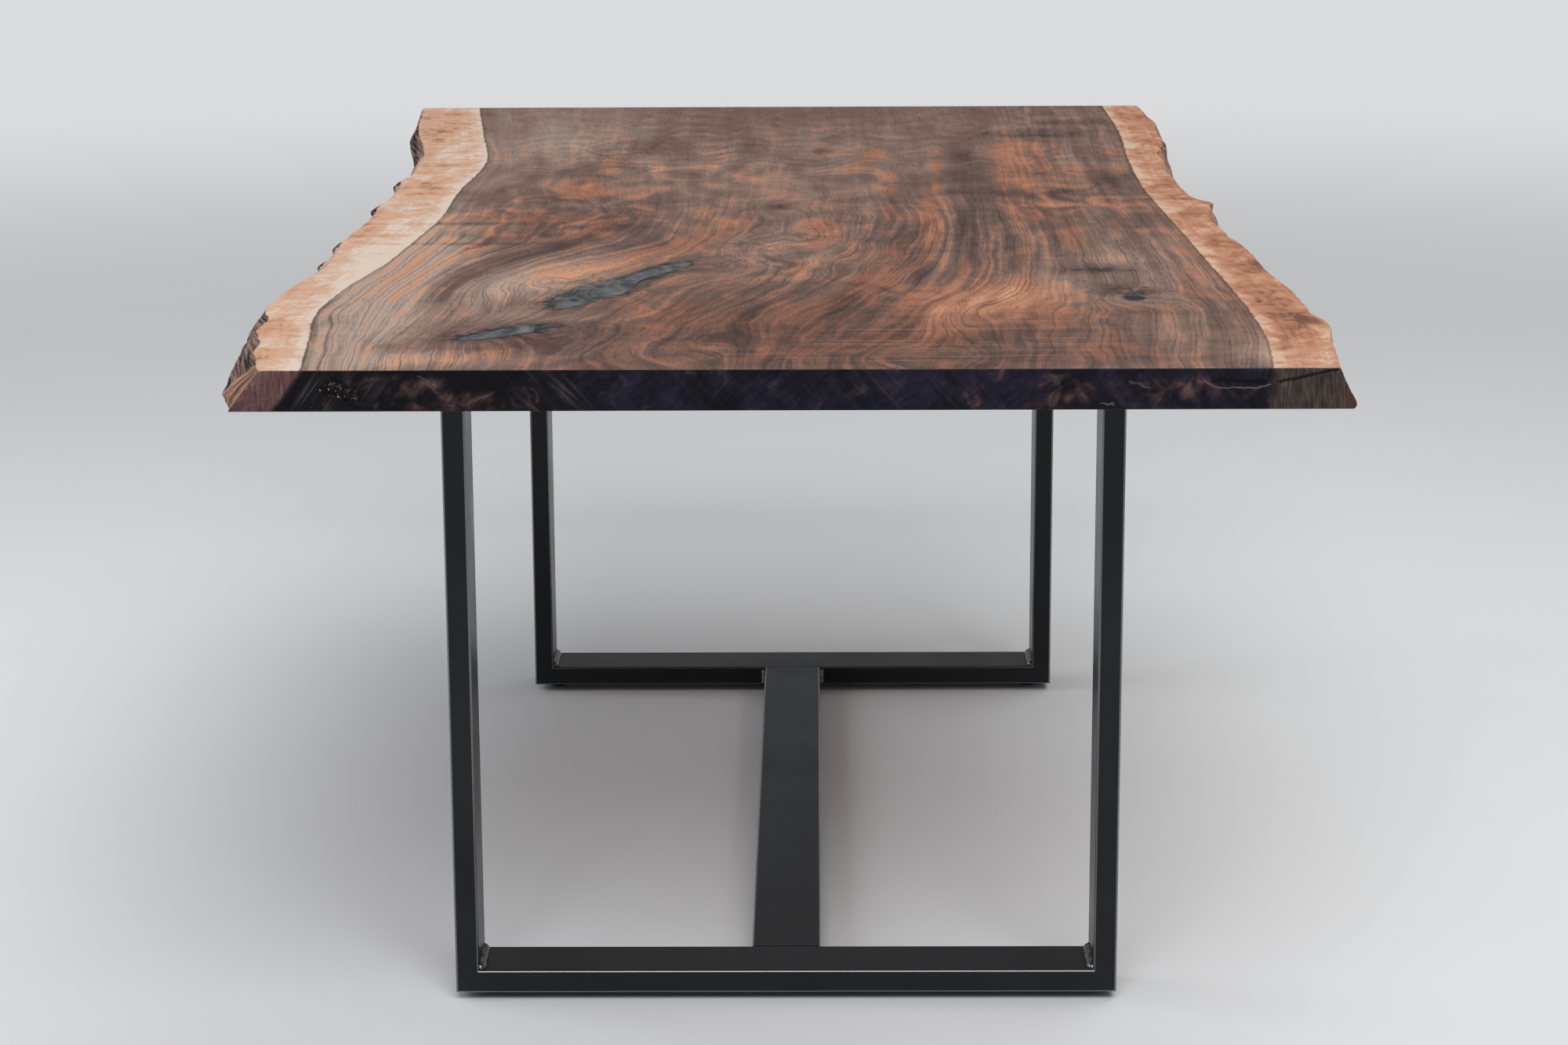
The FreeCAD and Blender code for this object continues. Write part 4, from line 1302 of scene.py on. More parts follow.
FLAME_STAINS = (
    Stain(-290, 20, 110, 270, 1.0), Stain(-210, 480, 130, 350, 0.8), Stain(350, 250, 120, 420, 0.8),
    Stain(20, 400, 200, 350, 0.5), Stain(-180, -180, 90, 120, 0.6), Stain(400, 760, 120, 120, 0.8),
    Stain(200, -620, 130, 180, 0.75), Stain(0, 500, 460, 460, 0.30),
)
INK_STAINS = (
    Stain(-185, -505, 26, 150, 0.35, 27), Stain(-274, -750, 24, 70, 0.35, 58),
    Stain(345, -402, 50, 17, 0.80), Stain(368, -572, 11, 13, 1.50), Stain(366, -530, 48, 40, 0.74),
    Stain(-305, -310, 20, 60, 0.08, 34), Stain(45, 495, 14, 20, 0.5), Stain(-10, 32, 15, 20, 0.45),
    Stain(330, -640, 40, 16, 0.25),
)
RING_SWIRLS = (
    Stain(368, -572, 34, 40, 11), Stain(-40, -700, 60, 130, 5, 6), Stain(-262, -420, 48, 120, 8, 24),
    Stain(-275, -745, 46, 78, 7, 58), Stain(45, 495, 26, 44, 5), Stain(-10, 32, 32, 48, 7),
    Stain(190, -630, 60, 120, 5, 10), Stain(-120, -830, 50, 90, 5, 14), Stain(90, -880, 56, 70, 5, 20),
    Stain(-20, -260, 40, 80, 8), Stain(-60, -380, 36, 60, -7), Stain(30, -180, 30, 70, -5),
)
SAWN_RED = (
    Stain(-385, 753, 26, 4, 0.6, -10), Stain(-355, 744, 18, 7, 0.85), Stain(-333, 748, 12, 5, 0.8),
    Stain(-369, 728, 34, 4, 0.45), Stain(-307, 731, 14, 8, 1.0), Stain(-282, 731, 11, 8, 0.9),
    Stain(-261, 729, 14, 7, 0.8), Stain(-238, 738, 6, 14, 0.5, -40), Stain(-83, 760, 10, 4, 0.5),
    Stain(75, 741, 5, 24, 0.3, 55), Stain(185, 732, 8, 9, 0.35), Stain(212, 754, 8, 7, 0.3),
    Stain(262, 740, 26, 16, 0.50), Stain(290, 738, 14, 16, 0.40), Stain(245, 726, 24, 5, 0.4),
    Stain(350, 742, 40, 12, 0.34), Stain(401, 744, 20, 9, 0.38), Stain(450, 735, 18, 8, 0.3),
)
SAWN_BLACK = (
    Stain(-424, 744, 20, 10, 0.8), Stain(-400, 730, 30, 10, 0.45), Stain(-325, 758, 60, 4, 0.5),
    Stain(-335, 730, 16, 8, 0.5), Stain(-296, 750, 26, 8, 0.45), Stain(-190, 735, 50, 14, 0.35),
    Stain(470, 742, 7, 22, 0.6), Stain(435, 756, 40, 4, 0.4), Stain(370, 728, 30, 6, 0.4),
)
SAWN_PALE = (
    Stain(-452, 745, 16, 22, 0.9), Stain(-390, 745, 20, 12, 0.4), Stain(-440, 730, 14, 10, 0.6),
    Stain(-232, 740, 14, 20, 1.0, -40), Stain(-204, 740, 12, 18, 0.8, -40), Stain(90, 742, 110, 18, 0.12),
    Stain(354, 746, 14, 5, 0.6), Stain(321, 728, 7, 3, 0.8), Stain(440, 742, 26, 12, 0.25),
)


RIM_WANDER = 130.0
RIM_SEED = 7.3
FACE_WAVES = 90.0
FACE_SEED = 3.1


@dataclass(frozen=True)
class VoidOutline:
    """The rim of a filled void, as points on its two banks from one tip to the other, in millimetres."""

    left_bank: tuple[Place, ...]
    right_bank: tuple[Place, ...]

    def place(self, along: np.ndarray, across: np.ndarray, raggedness: float) -> np.ndarray:
        """Give places in the void as rows of two numbers in metres.

        Args:
            along: shares of the way from one tip to the other.
            across: shares of the way from the left bank to the right one.
            raggedness: how far the places wander, in metres.

        Returns:
            The places.
        """
        banks = []
        for bank in (self.left_bank, self.right_bank):
            shares = np.linspace(0.0, 1.0, len(bank))
            banks.append(np.column_stack([curve_through(shares, row, along) for row in zip(*bank)]) * MM)
        places = banks[0] + (banks[1] - banks[0]) * across[:, None]
        spots = (Vector((x * RIM_WANDER, y * RIM_WANDER, RIM_SEED)) for x, y in places)
        return places + raggedness * np.array([noise.noise_vector(spot)[:2] for spot in spots])


LONG_VOID = VoidOutline(
    left_bank=((-106, -345), (-128, -362), (-144, -385), (-160, -412), (-172, -440), (-196, -466),
               (-214, -490), (-228, -520), (-238, -552), (-243, -590), (-240, -616)),
    right_bank=((-103, -352), (-107, -374), (-120, -396), (-136, -420), (-152, -450), (-160, -482),
                (-163, -515), (-176, -546), (-193, -572), (-210, -598), (-228, -618)),
)
SHORT_VOID = VoidOutline(
    left_bank=((-228, -705), (-250, -706), (-270, -716), (-288, -735), (-302, -750), (-318, -770),
               (-322, -782)),
    right_bank=((-229, -712), (-246, -728), (-250, -742), (-262, -752), (-276, -768), (-296, -778),
                (-315, -787)),
)
END_VOID = VoidOutline(
    left_bank=((-439, 746), (-434, 752), (-426, 755), (-416, 752), (-408, 744), (-402, 735)),
    right_bank=((-440, 742), (-434, 738), (-428, 737), (-420, 733), (-411, 731), (-403, 731)),
)


@dataclass
class VoidFill:
    """Cast resin in a void of the slab.

    Attributes:
        node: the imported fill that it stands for.
        outline: the void's rim.
        plane: the face that the void opens in.
        depth: how deep the fill goes.
        lengthwise: faces from tip to tip.
        crosswise: faces from bank to bank.
        dish: how far the middle lies below the face.
        raggedness: how far the rim wanders.
        overshoot: how far the cutter stands out of the face.
        smooth_angle: degrees up to which its faces are shaded smooth.
    """

    node: str
    outline: VoidOutline
    plane: Plane
    depth: float = 12 * MM
    lengthwise: int = 90
    crosswise: int = 14
    dish: float = 0.7 * MM
    raggedness: float = 2.0 * MM
    overshoot: float = 4 * MM
    smooth_angle: float = 40.0

    def prism(self, lift: float, dish: float) -> bpy.types.Object:
        """Model the void's prism, from its floor to a height above the face.

        Args:
            lift: how far its open end stands above the face.
            dish: how far the middle of that end is sunk.

        Returns:
            The prism, in the slab's place.
        """
        start_fresh()
        bpy.ops.mesh.primitive_grid_add(
            x_subdivisions=self.lengthwise, y_subdivisions=self.crosswise, size=1.0
        )
        piece = bpy.context.object
        along, across, _ = (points_of(piece) + (0.5, 0.5, 0.0)).T
        flat = self.outline.place(along, across, self.raggedness)
        middle = np.minimum(1.0, 16 * along * (1 - along) * across * (1 - across))
        spots = (Vector((a * FACE_WAVES, b * FACE_WAVES, FACE_SEED)) for a, b in flat)
        waves = np.array([noise.fractal(spot, 0.8, 2.0, 4) for spot in spots])
        out = lift - (dish / 6 + dish * middle * (0.7 + 0.6 * waves) if dish else 0.0)
        low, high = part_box("walnut_slab")
        if self.plane is Plane.TOP:
            face = np.column_stack((flat, high.z + out + np.zeros(len(flat))))
            inward = (0.0, 0.0, -(self.depth + lift))
        else:
            face = np.column_stack((flat[:, 0], low.y - out + np.zeros(len(flat)), flat[:, 1]))
            inward = (0.0, self.depth + lift, 0.0)
        move_points(piece, face)
        bpy.ops.object.mode_set(mode="EDIT")
        bpy.ops.mesh.select_all(action="SELECT")
        bpy.ops.mesh.extrude_region_move(TRANSFORM_OT_translate={"value": inward})
        bpy.ops.mesh.select_all(action="SELECT")
        bpy.ops.mesh.normals_make_consistent(inside=False)
        bpy.ops.object.mode_set(mode="OBJECT")
        return piece

    def nearness(self, places: np.ndarray, reach: float) -> np.ndarray:
        """Give how near places on the face are to the void's rim.

        Args:
            places: rows of two numbers on the face.
            reach: the distance at which the nearness has dropped to a third.

        Returns:
            A number for each place, 1 at the rim.
        """
        steps = np.linspace(0.0, 1.0, self.lengthwise)
        away = np.full(len(places), np.inf)
        for bank in (np.zeros_like(steps), np.ones_like(steps)):
            for point in self.outline.place(steps, bank, self.raggedness):
                away = np.minimum(away, np.hypot(*(places - point).T))
        return np.exp(-away / reach)

    def carve(self, slab: bpy.types.Object) -> None:
        """Cut the void out of the slab.

        Args:
            slab: the slab.
        """
        cutter = self.prism(self.overshoot, 0.0)
        take_up(slab)
        cut = slab.modifiers.new("void", "BOOLEAN")
        cut.operation = "DIFFERENCE"
        cut.solver = "EXACT"
        cut.object = cutter
        bpy.ops.object.modifier_apply(modifier=cut.name)
        bpy.data.objects.remove(cutter)

    def build(self, finish: bpy.types.Material) -> bpy.types.Object:
        """Model the fill, dished and lumpy where it shows.

        Args:
            finish: the resin's material.

        Returns:
            The fill.
        """
        piece = self.prism(0.0, self.dish)
        piece.data.materials.append(finish)
        bpy.ops.object.shade_smooth_by_angle(angle=math.radians(self.smooth_angle))
        return finish_piece(piece, f"{self.node}_resin", [self.node])


@dataclass
class WalnutSlab:
    """The slab: a sawn top between two natural edges, with its figure painted on as attributes.

    Attributes:
        columns: faces across the top.
        rows: faces along the top.
        coarsening: how many of the top's faces go to one face of the underside.
        edge_ease: how far the sawn edges are eased.
        drops: depths of the rows of points down the sides, as shares of the thickness.
        tear_length: how far the bark is torn back from the front left corner.
        wobbles: features to a metre of the natural edges' unevenness, and how far each swings.
        side_band: how far out from the top's outline the painted edge starts and is full.
        end_band: how near the end a face has to be to count as sawn.
        end_tilt: how squarely it has to face the end.
        smooth_angle: degrees up to which its faces are shaded smooth.
        void_ink: how black the wood is at the rims of the voids.
        ink_reach: how far that black reaches.
        heart_lean: how far the rings lean out on their way down, at places across the slab, in millimetres.
    """

    columns: int = 160
    rows: int = 270
    coarsening: int = 5
    edge_ease: float = 1.3 * MM
    drops: tuple[float, ...] = (
        0.0, 0.010, 0.032, 0.075, 0.13, 0.19, 0.25, 0.32, 0.39, 0.46, 0.53, 0.60, 0.66, 0.71, 0.76, 0.81,
        0.86, 0.91, 0.95, 0.975, 0.992, 1.0,
    )
    tear_length: float = 30 * MM
    wobbles: tuple[tuple[float, float], ...] = ((60.0, 0.9 * MM), (15.0, 2.2 * MM))
    side_band: tuple[float, float] = (-24 * MM, -16 * MM)
    end_band: float = 3 * MM
    end_tilt: float = 0.35
    smooth_angle: float = 32.0
    void_ink: float = 0.66
    ink_reach: float = 18 * MM
    heart_lean: tuple[tuple[float, float], ...] = (
        (-550, 28), (-400, 28), (-250, 30), (0, 34), (250, 40), (400, 12), (550, 0),
    )

    def __post_init__(self) -> None:
        """Take the slab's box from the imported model."""
        self.low, self.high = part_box("walnut_slab")
        self.thickness = self.high.z - self.low.z
        self.half_width = (self.high.x - self.low.x) / 2
        self.half_length = (self.high.y - self.low.y) / 2
        self.middle_y = (self.high.y + self.low.y) / 2

    def build(
        self, fills: Sequence[VoidFill], wood: bpy.types.Material, ends: bpy.types.Material
    ) -> bpy.types.Object:
        """Model the slab, carve its voids, paint its figure and dress it.

        Args:
            fills: the fills whose voids are carved.
            wood: the material of the top, the edges and the underside.
            ends: the material of the sawn ends.

        Returns:
            The slab.
        """
        piece = self.block()
        self.shape(piece)
        for fill in fills:
            fill.carve(piece)
        self.paint(piece, fills)
        piece.data.materials.append(wood)
        piece.data.materials.append(ends)
        for polygon in piece.data.polygons:
            at_end = min(polygon.center.y - self.low.y, self.high.y - polygon.center.y) < self.end_band
            polygon.material_index = 1 if at_end and abs(polygon.normal.y) > self.end_tilt else 0
        take_up(piece)
        bpy.ops.object.shade_smooth_by_angle(angle=math.radians(self.smooth_angle))
        return finish_piece(piece, "walnut_slab_carved", ["walnut_slab"])

    def block(self) -> bpy.types.Object:
        """Model a block with a grid on top, a coarser one below and rows of points down its sides.

        Returns:
            The block, one unit wide and long, with its rows one unit apart.
        """
        start_fresh()
        bpy.ops.mesh.primitive_grid_add(x_subdivisions=self.columns, y_subdivisions=self.rows, size=1.0)
        piece = bpy.context.object
        bpy.ops.object.mode_set(mode="EDIT")
        bpy.ops.mesh.select_mode(type="EDGE")
        bpy.ops.mesh.select_all(action="DESELECT")
        bpy.ops.mesh.select_non_manifold()
        bpy.ops.mesh.subdivide(number_cuts=1)
        bpy.ops.mesh.select_all(action="DESELECT")
        bpy.ops.mesh.select_non_manifold()
        for _ in self.drops[1:]:
            bpy.ops.mesh.extrude_region_move(TRANSFORM_OT_translate={"value": (0.0, 0.0, -1.0)})
        bpy.ops.mesh.primitive_grid_add(
            x_subdivisions=self.columns // self.coarsening,
            y_subdivisions=self.rows // self.coarsening,
            size=1.0,
            location=(0.0, 0.0, 1.0 - len(self.drops)),
        )
        bpy.ops.mesh.region_to_loop()
        bpy.ops.mesh.subdivide(number_cuts=2 * self.coarsening - 1)
        bpy.ops.mesh.select_all(action="SELECT")
        bpy.ops.mesh.remove_doubles(threshold=1e-4)
        bpy.ops.mesh.normals_make_consistent(inside=False)
        bpy.ops.object.mode_set(mode="OBJECT")
        return piece

    def shape(self, piece: bpy.types.Object) -> None:
        """Move the block's points to the slab's outline and edges.

        Args:
            piece: the block.
        """
        unit = points_of(piece)
        u, v = unit[:, 0] + 0.5, unit[:, 1] + 0.5
        row = np.rint(-unit[:, 2]).astype(int)
        drop = np.asarray(self.drops)[row]
        ease = self.eased(drop)
        y = self.low.y + v * (self.high.y - self.low.y)
        left, right = (self.edge_reach(edge, y, drop) - ease for edge in (LEFT_EDGE, RIGHT_EDGE))
        x = -left + u * (right + left)
        y = y + np.where(v < 1e-6, ease, 0.0) - np.where(v > 1 - 1e-6, ease, 0.0)
        move_points(piece, np.column_stack((x, y, self.high.z - drop * self.thickness)))

    def eased(self, drop: np.ndarray) -> np.ndarray:
        """Give how far the eased edges draw in.

        Args:
            drop: depths, as shares of the thickness.

        Returns:
            The distance at each depth.
        """
        near = np.minimum(drop, 1 - drop) * self.thickness
        inside = np.clip(1 - near / self.edge_ease, 0.0, 1.0)
        return self.edge_ease * (1 - np.sqrt(1 - inside**2))

    def profile(self, edge: LiveEdge, y: np.ndarray, drop: np.ndarray) -> np.ndarray:
        """Give the plain reach of a natural edge from the slab's middle line.

        Args:
            edge: the natural edge.
            y: places along the slab.
            drop: depths, as shares of the thickness.

        Returns:
            The reach at each place.
        """
        share = (y - self.middle_y) / self.half_length
        along = [station.along for station in edge.stations]
        parts = zip(*((station.top, station.knee, station.under) for station in edge.stations))
        top, knee, under = (self.half_width * curve_through(along, part, share) for part in parts)
        t = edge.knee_share
        return np.where(drop < t, top + (knee - top) * drop / t, knee + (under - knee) * (drop - t) / (1 - t))

    def edge_reach(self, edge: LiveEdge, y: np.ndarray, drop: np.ndarray) -> np.ndarray:
        """Give the reach of a natural edge with its knobs, pits, ridges and rounding.

        Args:
            edge: the natural edge.
            y: places along the slab.
            drop: depths, as shares of the thickness.

        Returns:
            The reach at each place.
        """
        softness = 0.6 * (1 - edge.knee_share) * np.ones_like(drop)
        above, below = np.clip(drop - softness, 0, 1), np.clip(drop + softness, 0, 1)
        reach = 0.5 * self.profile(edge, y, drop)
        reach += 0.25 * (self.profile(edge, y, above) + self.profile(edge, y, below))
        depth = drop * self.thickness
        for lump in edge.lumps:
            reach += lump.rise * MM * lump.weight(y, depth)
        cover = self.bark_cover(edge, y, drop)
        inner = smooth_step(0.0, 0.08, drop) * (1 - smooth_step(0.93, 1.0, drop))
        reach += edge.ridge * MM * cover * (self.ridges(edge, y, depth) - 0.55) * inner
        rounding = edge.round_over * MM * (1 - 0.8 * cover)
        inside = np.clip(1 - depth / rounding, 0.0, 1.0)
        reach -= rounding * (1 - np.sqrt(1 - inside**2))
        for fineness, swing in self.wobbles:
            spots = (Vector((yy, 0.3 * edge.side.value, 1.4 * dd)) * fineness for yy, dd in zip(y, depth))
            reach += swing * np.array([noise.noise(spot) for spot in spots])
        if edge.side is Side.LEFT:
            torn = 1 - smooth_step(0.0, self.tear_length, y - self.low.y)
            top = self.profile(edge, y, np.zeros_like(drop))
            under = self.profile(edge, y, np.ones_like(drop))
            reach += torn * (np.minimum(top + (under - top) * drop, reach) - reach)
        return reach

    def ridges(self, edge: LiveEdge, y: np.ndarray, depth: np.ndarray) -> np.ndarray:
        """Give the bark's ridges, from 0 in the furrows to 1 on the crests.

        Args:
            edge: the natural edge.
            y: places along the slab.
            depth: depths below the top.

        Returns:
            The height at each place.
        """
        out = np.empty(len(y))
        for k, (yy, dd) in enumerate(zip(y, depth)):
            slant = dd + 0.06 * yy
            fine = noise.noise(Vector((yy * 6, slant * 240, edge.side.value * 3.0)))
            broad = noise.noise(Vector((yy * 9, slant * 105, edge.side.value * 9.0)))
            out[k] = 1 - abs(0.62 * fine + 0.62 * broad) * 1.5
        return np.clip(out, 0.0, 1.0)

    def bark_cover(self, edge: LiveEdge, y: np.ndarray, drop: np.ndarray) -> np.ndarray:
        """Give how much of a natural edge its bark covers, from 0 to 1.

        Args:
            edge: the natural edge.
            y: places along the slab.
            drop: depths, as shares of the thickness.

        Returns:
            The share at each place.
        """
        cover = np.zeros_like(y)
        for stretch in edge.bark:
            cover = np.maximum(cover, stretch.cover(y))
        return np.maximum(cover, self.blackened(edge, y, drop))

    def blackened(self, edge: LiveEdge, y: np.ndarray, drop: np.ndarray) -> np.ndarray:
        """Give how much of a natural edge its knobs and pits blacken, from 0 to 1.

        Args:
            edge: the natural edge.
            y: places along the slab.
            drop: depths, as shares of the thickness.

        Returns:
            The share at each place.
        """
        black = np.zeros_like(y)
        for lump in edge.lumps:
            black = np.maximum(black, np.clip(1.6 * lump.dark * lump.weight(y, drop * self.thickness), 0, 1))
        return black

    def paint(self, piece: bpy.types.Object, fills: Sequence[VoidFill]) -> None:
        """Paint the grain, the figure, the edges and the sawn ends onto the slab's points.

        Args:
            piece: the carved slab.
            fills: the fills, whose rims are stained.
        """
        points = points_of(piece)
        x, y = points[:, 0], points[:, 1]
        depth = np.clip(self.high.z - points[:, 2], 0.0, self.thickness)
        drop = depth / self.thickness
        place, lean = zip(*self.heart_lean)
        across = x + curve_through(place, lean, x / MM) * MM * drop
        ring, sap = self.rings(across, y)
        figure = [total(stains, across, y) for stains in (WARM_STAINS, SHADE_STAINS, WAVY_STAINS)]
        marks = [total(stains, across, y) for stains in (PLANER_MARKS, INK_STAINS, FLAME_STAINS)]
        for fill in fills:
            if fill.plane is Plane.TOP:
                marks[1] += self.void_ink * fill.nearness(points[:, :2], self.ink_reach)
        cover, height = np.zeros_like(x), np.zeros_like(x)
        for edge in (LEFT_EDGE, RIGHT_EDGE):
            reach = self.profile(edge, y, np.zeros_like(drop))
            out = edge.side.value * x - reach
            on_side = smooth_step(*self.side_band, out) * smooth_step(0.0, 0.02, drop)
            on_side *= drop < 0.999
            mine = on_side > 0
            cover[mine] = self.bark_cover(edge, y[mine], drop[mine]) * on_side[mine]
            height[mine] = self.ridges(edge, y[mine], depth[mine])
            height[mine] *= 1 - self.blackened(edge, y[mine], drop[mine])
        torn = (x < 0) * (1 - smooth_step(0.75 * self.tear_length, 1.25 * self.tear_length, y - self.low.y))
        height += 1.6 * torn * (cover > 0.05)
        end_x = np.where(y < self.middle_y, x, -x)
        sawn = [total(stains, end_x, points[:, 2]) for stains in (SAWN_RED, SAWN_BLACK, SAWN_PALE)]
        self.carry(piece, "grain", (ring, y, depth))
        self.carry(piece, "figure", figure)
        self.carry(piece, "edge", (sap, cover, height))
        self.carry(piece, "marks", marks)
        self.carry(piece, "sawn", sawn)

    def rings(self, across: np.ndarray, along: np.ndarray) -> tuple[np.ndarray, np.ndarray]:
        """Count the rings at places across and along the slab.

        Args:
            across: places across the slab.
            along: places along it.

        Returns:
            The ring count, and the distance out into the sapwood.
        """
        lines = [curve_through(GRAIN_STATIONS, line.across, along / MM) * MM for line in GRAIN_LINES]
        sap = np.maximum(lines[0] - across, across - lines[-1])
        ring = -np.maximum(lines[0] - across, 0) / RING_WIDTH_IN_SAPWOOD
        for first, last, inner, outer in zip(GRAIN_LINES, GRAIN_LINES[1:], lines, lines[1:]):
            ring += (last.ring - first.ring) * np.clip((across - inner) / (outer - inner), 0.0, 1.0)
        ring += np.maximum(across - lines[-1], 0) / RING_WIDTH_IN_SAPWOOD
        return ring + total(RING_SWIRLS, across, along), sap

    @staticmethod
    def carry(piece: bpy.types.Object, name: str, parts: Sequence[np.ndarray]) -> None:
        """Store three numbers for each point under one attribute's name."""
        attribute = piece.data.attributes.new(name, "FLOAT_VECTOR", "POINT")
        attribute.data.foreach_set("vector", np.column_stack(parts).astype(np.float32).ravel())


@dataclass
class WeldBead:
    """A rippled fillet bead in a corner between two faces.

    Attributes:
        start: the corner at one end of the bead.
        end: the corner at its other end.
        first_leg: direction along one face, away from the corner.
        second_leg: direction along the other face, away from the corner.
        leg: width of the bead on each face.
        bulge: how far its face stands out in the middle.
        depth: how far it sinks into the steel.
        ripple: length of one ripple.
        ripple_height: how far a ripple stands out.
        ripple_bow: how far the ripples bow along the bead, in ripples.
        wobble: how much the width varies, as a share.
        wobble_scale: how many times it varies in a metre.
        lengthwise: faces along the bead.
        round_faces: faces round the bead.
        face_share: share of those faces on its open side.
    """

    start: Vector
    end: Vector
    first_leg: Vector
    second_leg: Vector
    leg: float = 7.0 * MM
    bulge: float = 0.7 * MM
    depth: float = 0.3 * MM
    ripple: float = 2.6 * MM
    ripple_height: float = 0.16 * MM
    ripple_bow: float = 0.35
    wobble: float = 0.12
    wobble_scale: float = 190.0
    lengthwise: int = 110
    round_faces: int = 16
    face_share: float = 0.75

    def build(self) -> bpy.types.Object:
        """Model the bead.

        Returns:
            The bead, closed at its ends.
        """
        start_fresh()
        bpy.ops.mesh.primitive_grid_add(
            x_subdivisions=self.lengthwise, y_subdivisions=self.round_faces, size=1.0
        )
        piece = bpy.context.object
        unit = points_of(piece)
        length = (self.end - self.start).length
        points = np.empty_like(unit)
        for k, (u, v, _) in enumerate(unit + 0.5):
            at = self.start.lerp(self.end, u)
            share = min(v / self.face_share, 1.0)
            arch = math.sin(math.pi * share)
            wave = math.cos(math.tau * (u * length / self.ripple + self.ripple_bow * arch))
            varied = 1 + self.wobble * noise.noise(at * self.wobble_scale)
            size = self.leg * min(1.0, 14 * min(u, 1 - u)) ** 0.5 * varied
            out = arch * (self.bulge + self.ripple_height * wave)
            first, second = size * (1 - share) + out, size * share + out
            if v > self.face_share:
                back = (v - self.face_share) / (1 - self.face_share)
                first, second = size * max(2 * back - 1, 0.0), size * max(1 - 2 * back, 0.0)
            toe = min(1.0, 6 * min(share, 1 - share)) if v <= self.face_share else 0.0
            sink = self.depth * (1 - toe)
            points[k] = at + self.first_leg * (first - sink) + self.second_leg * (second - sink)
        move_points(piece, points)
        bpy.ops.object.mode_set(mode="EDIT")
        bpy.ops.mesh.select_all(action="SELECT")
        bpy.ops.mesh.remove_doubles(threshold=0.02 * MM)
        bpy.ops.mesh.normals_make_consistent(inside=False)
        bpy.ops.object.mode_set(mode="OBJECT")
        bpy.ops.object.shade_smooth()
        return piece


@dataclass
class SteelBase:
    """The welded base: two tube frames with mounting plates, and the stretcher between them.

    Attributes:
        coated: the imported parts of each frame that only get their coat.
        bead_inset: how far a bead stops short of the tube's sides.
        short_bead_faces: faces along each of the stretcher's beads.
    """

    coated: tuple[str, ...] = ("left_upright", "right_upright", "bottom_rail", "mounting_plate")
    bead_inset: float = 3 * MM
    short_bead_faces: int = 34

    def dress(self, coat: bpy.types.Material) -> None:
        """Coat the tubes and the plates.

        Args:
            coat: the powder coat.
        """
        for end in End:
            for part in self.coated:
                dress_node(f"{end.value}_{part}", coat)
        dress_node("stretcher", coat)

    def weld(self, coat: bpy.types.Material) -> None:
        """Lay all the beads and coat them.

        Args:
            coat: the powder coat.
        """
        for end in End:
            self.lay(f"{end.value}_corner_welds", self.corner_beads(end, at_plate=False), coat)
            self.lay(f"{end.value}_plate_welds", self.corner_beads(end, at_plate=True), coat)
        self.lay("stretcher_welds", self.stretcher_beads(), coat)

    def corner_beads(self, end: End, at_plate: bool) -> list[WeldBead]:
        """List the beads inside a frame, where its uprights meet the rail or the plate.

        Args:
            end: the frame's end of the table.
            at_plate: whether the beads are under the plate, and not on the rail.

        Returns:
            The two beads.
        """
        beads = []
        for side in Side:
            low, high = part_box(f"{end.value}_{side.name.lower()}_upright")
            inner = high.x if side is Side.LEFT else low.x
            rail_low, rail_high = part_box(f"{end.value}_bottom_rail")
            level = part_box(f"{end.value}_mounting_plate")[0].z if at_plate else rail_high.z
            start = Vector((inner, rail_low.y + self.bead_inset, level))
            finish = Vector((inner, rail_high.y - self.bead_inset, level))
            upright = Vector((0.0, 0.0, -1.0 if at_plate else 1.0))
            beads.append(WeldBead(start, finish, Vector((-side.value, 0.0, 0.0)), upright))
        return beads

    def stretcher_beads(self) -> list[WeldBead]:
        """List the upright beads where the stretcher meets the rails.

        Returns:
            The four beads.
        """
        low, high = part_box("stretcher")
        beads = []
        for side in Side:
            across = low.x if side is Side.LEFT else high.x
            for along, inward in ((low.y, 1.0), (high.y, -1.0)):
                start = Vector((across, along, low.z + self.bead_inset))
                finish = Vector((across, along, high.z - self.bead_inset))
                legs = Vector((side.value, 0.0, 0.0)), Vector((0.0, inward, 0.0))
                beads.append(WeldBead(start, finish, *legs, lengthwise=self.short_bead_faces))
        return beads

    def lay(self, node: str, beads: Sequence[WeldBead], coat: bpy.types.Material) -> None:
        """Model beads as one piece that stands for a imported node.

        Args:
            node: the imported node.
            beads: its beads.
            coat: the powder coat.
        """
        pieces = [bead.build() for bead in beads]
        start_fresh()
        for piece in pieces:
            piece.select_set(True)
        bpy.context.view_layer.objects.active = pieces[0]
        bpy.ops.object.join()
        pieces[0].data.materials.append(coat)
        finish_piece(pieces[0], f"{node}_rippled", [node])


@dataclass
class SlabFixings:
    """The bolts, washers and threaded inserts that hold the slab to the plates."""

    parts: tuple[str, ...] = ("slab_bolts", "bolt_washers", "slab_inserts")

    def dress(self, zinc: bpy.types.Material) -> None:
        """Plate the fixings.

        Args:
            zinc: the zinc plating.
        """
        for end in End:
            for part in self.parts:
                dress_node(f"{end.value}_{part}", zinc)


@dataclass
class LevellingFeet:
    """The four screw feet and the nuts that they run in."""

    nuts: str = "foot_nuts"

    def dress(self, nylon: bpy.types.Material, zinc: bpy.types.Material) -> None:
        """Finish the pads, the studs and the nuts.

        Args:
            nylon: the pads' nylon.
            zinc: the zinc plating.
        """
        for end in End:
            dress_node(f"{end.value}_{self.nuts}", zinc)
            for side in Side:
                foot = f"{end.value}_{side.name.lower()}_foot"
                dress_node(f"{foot}_pad", nylon)
                dress_node(f"{foot}_stud", zinc)


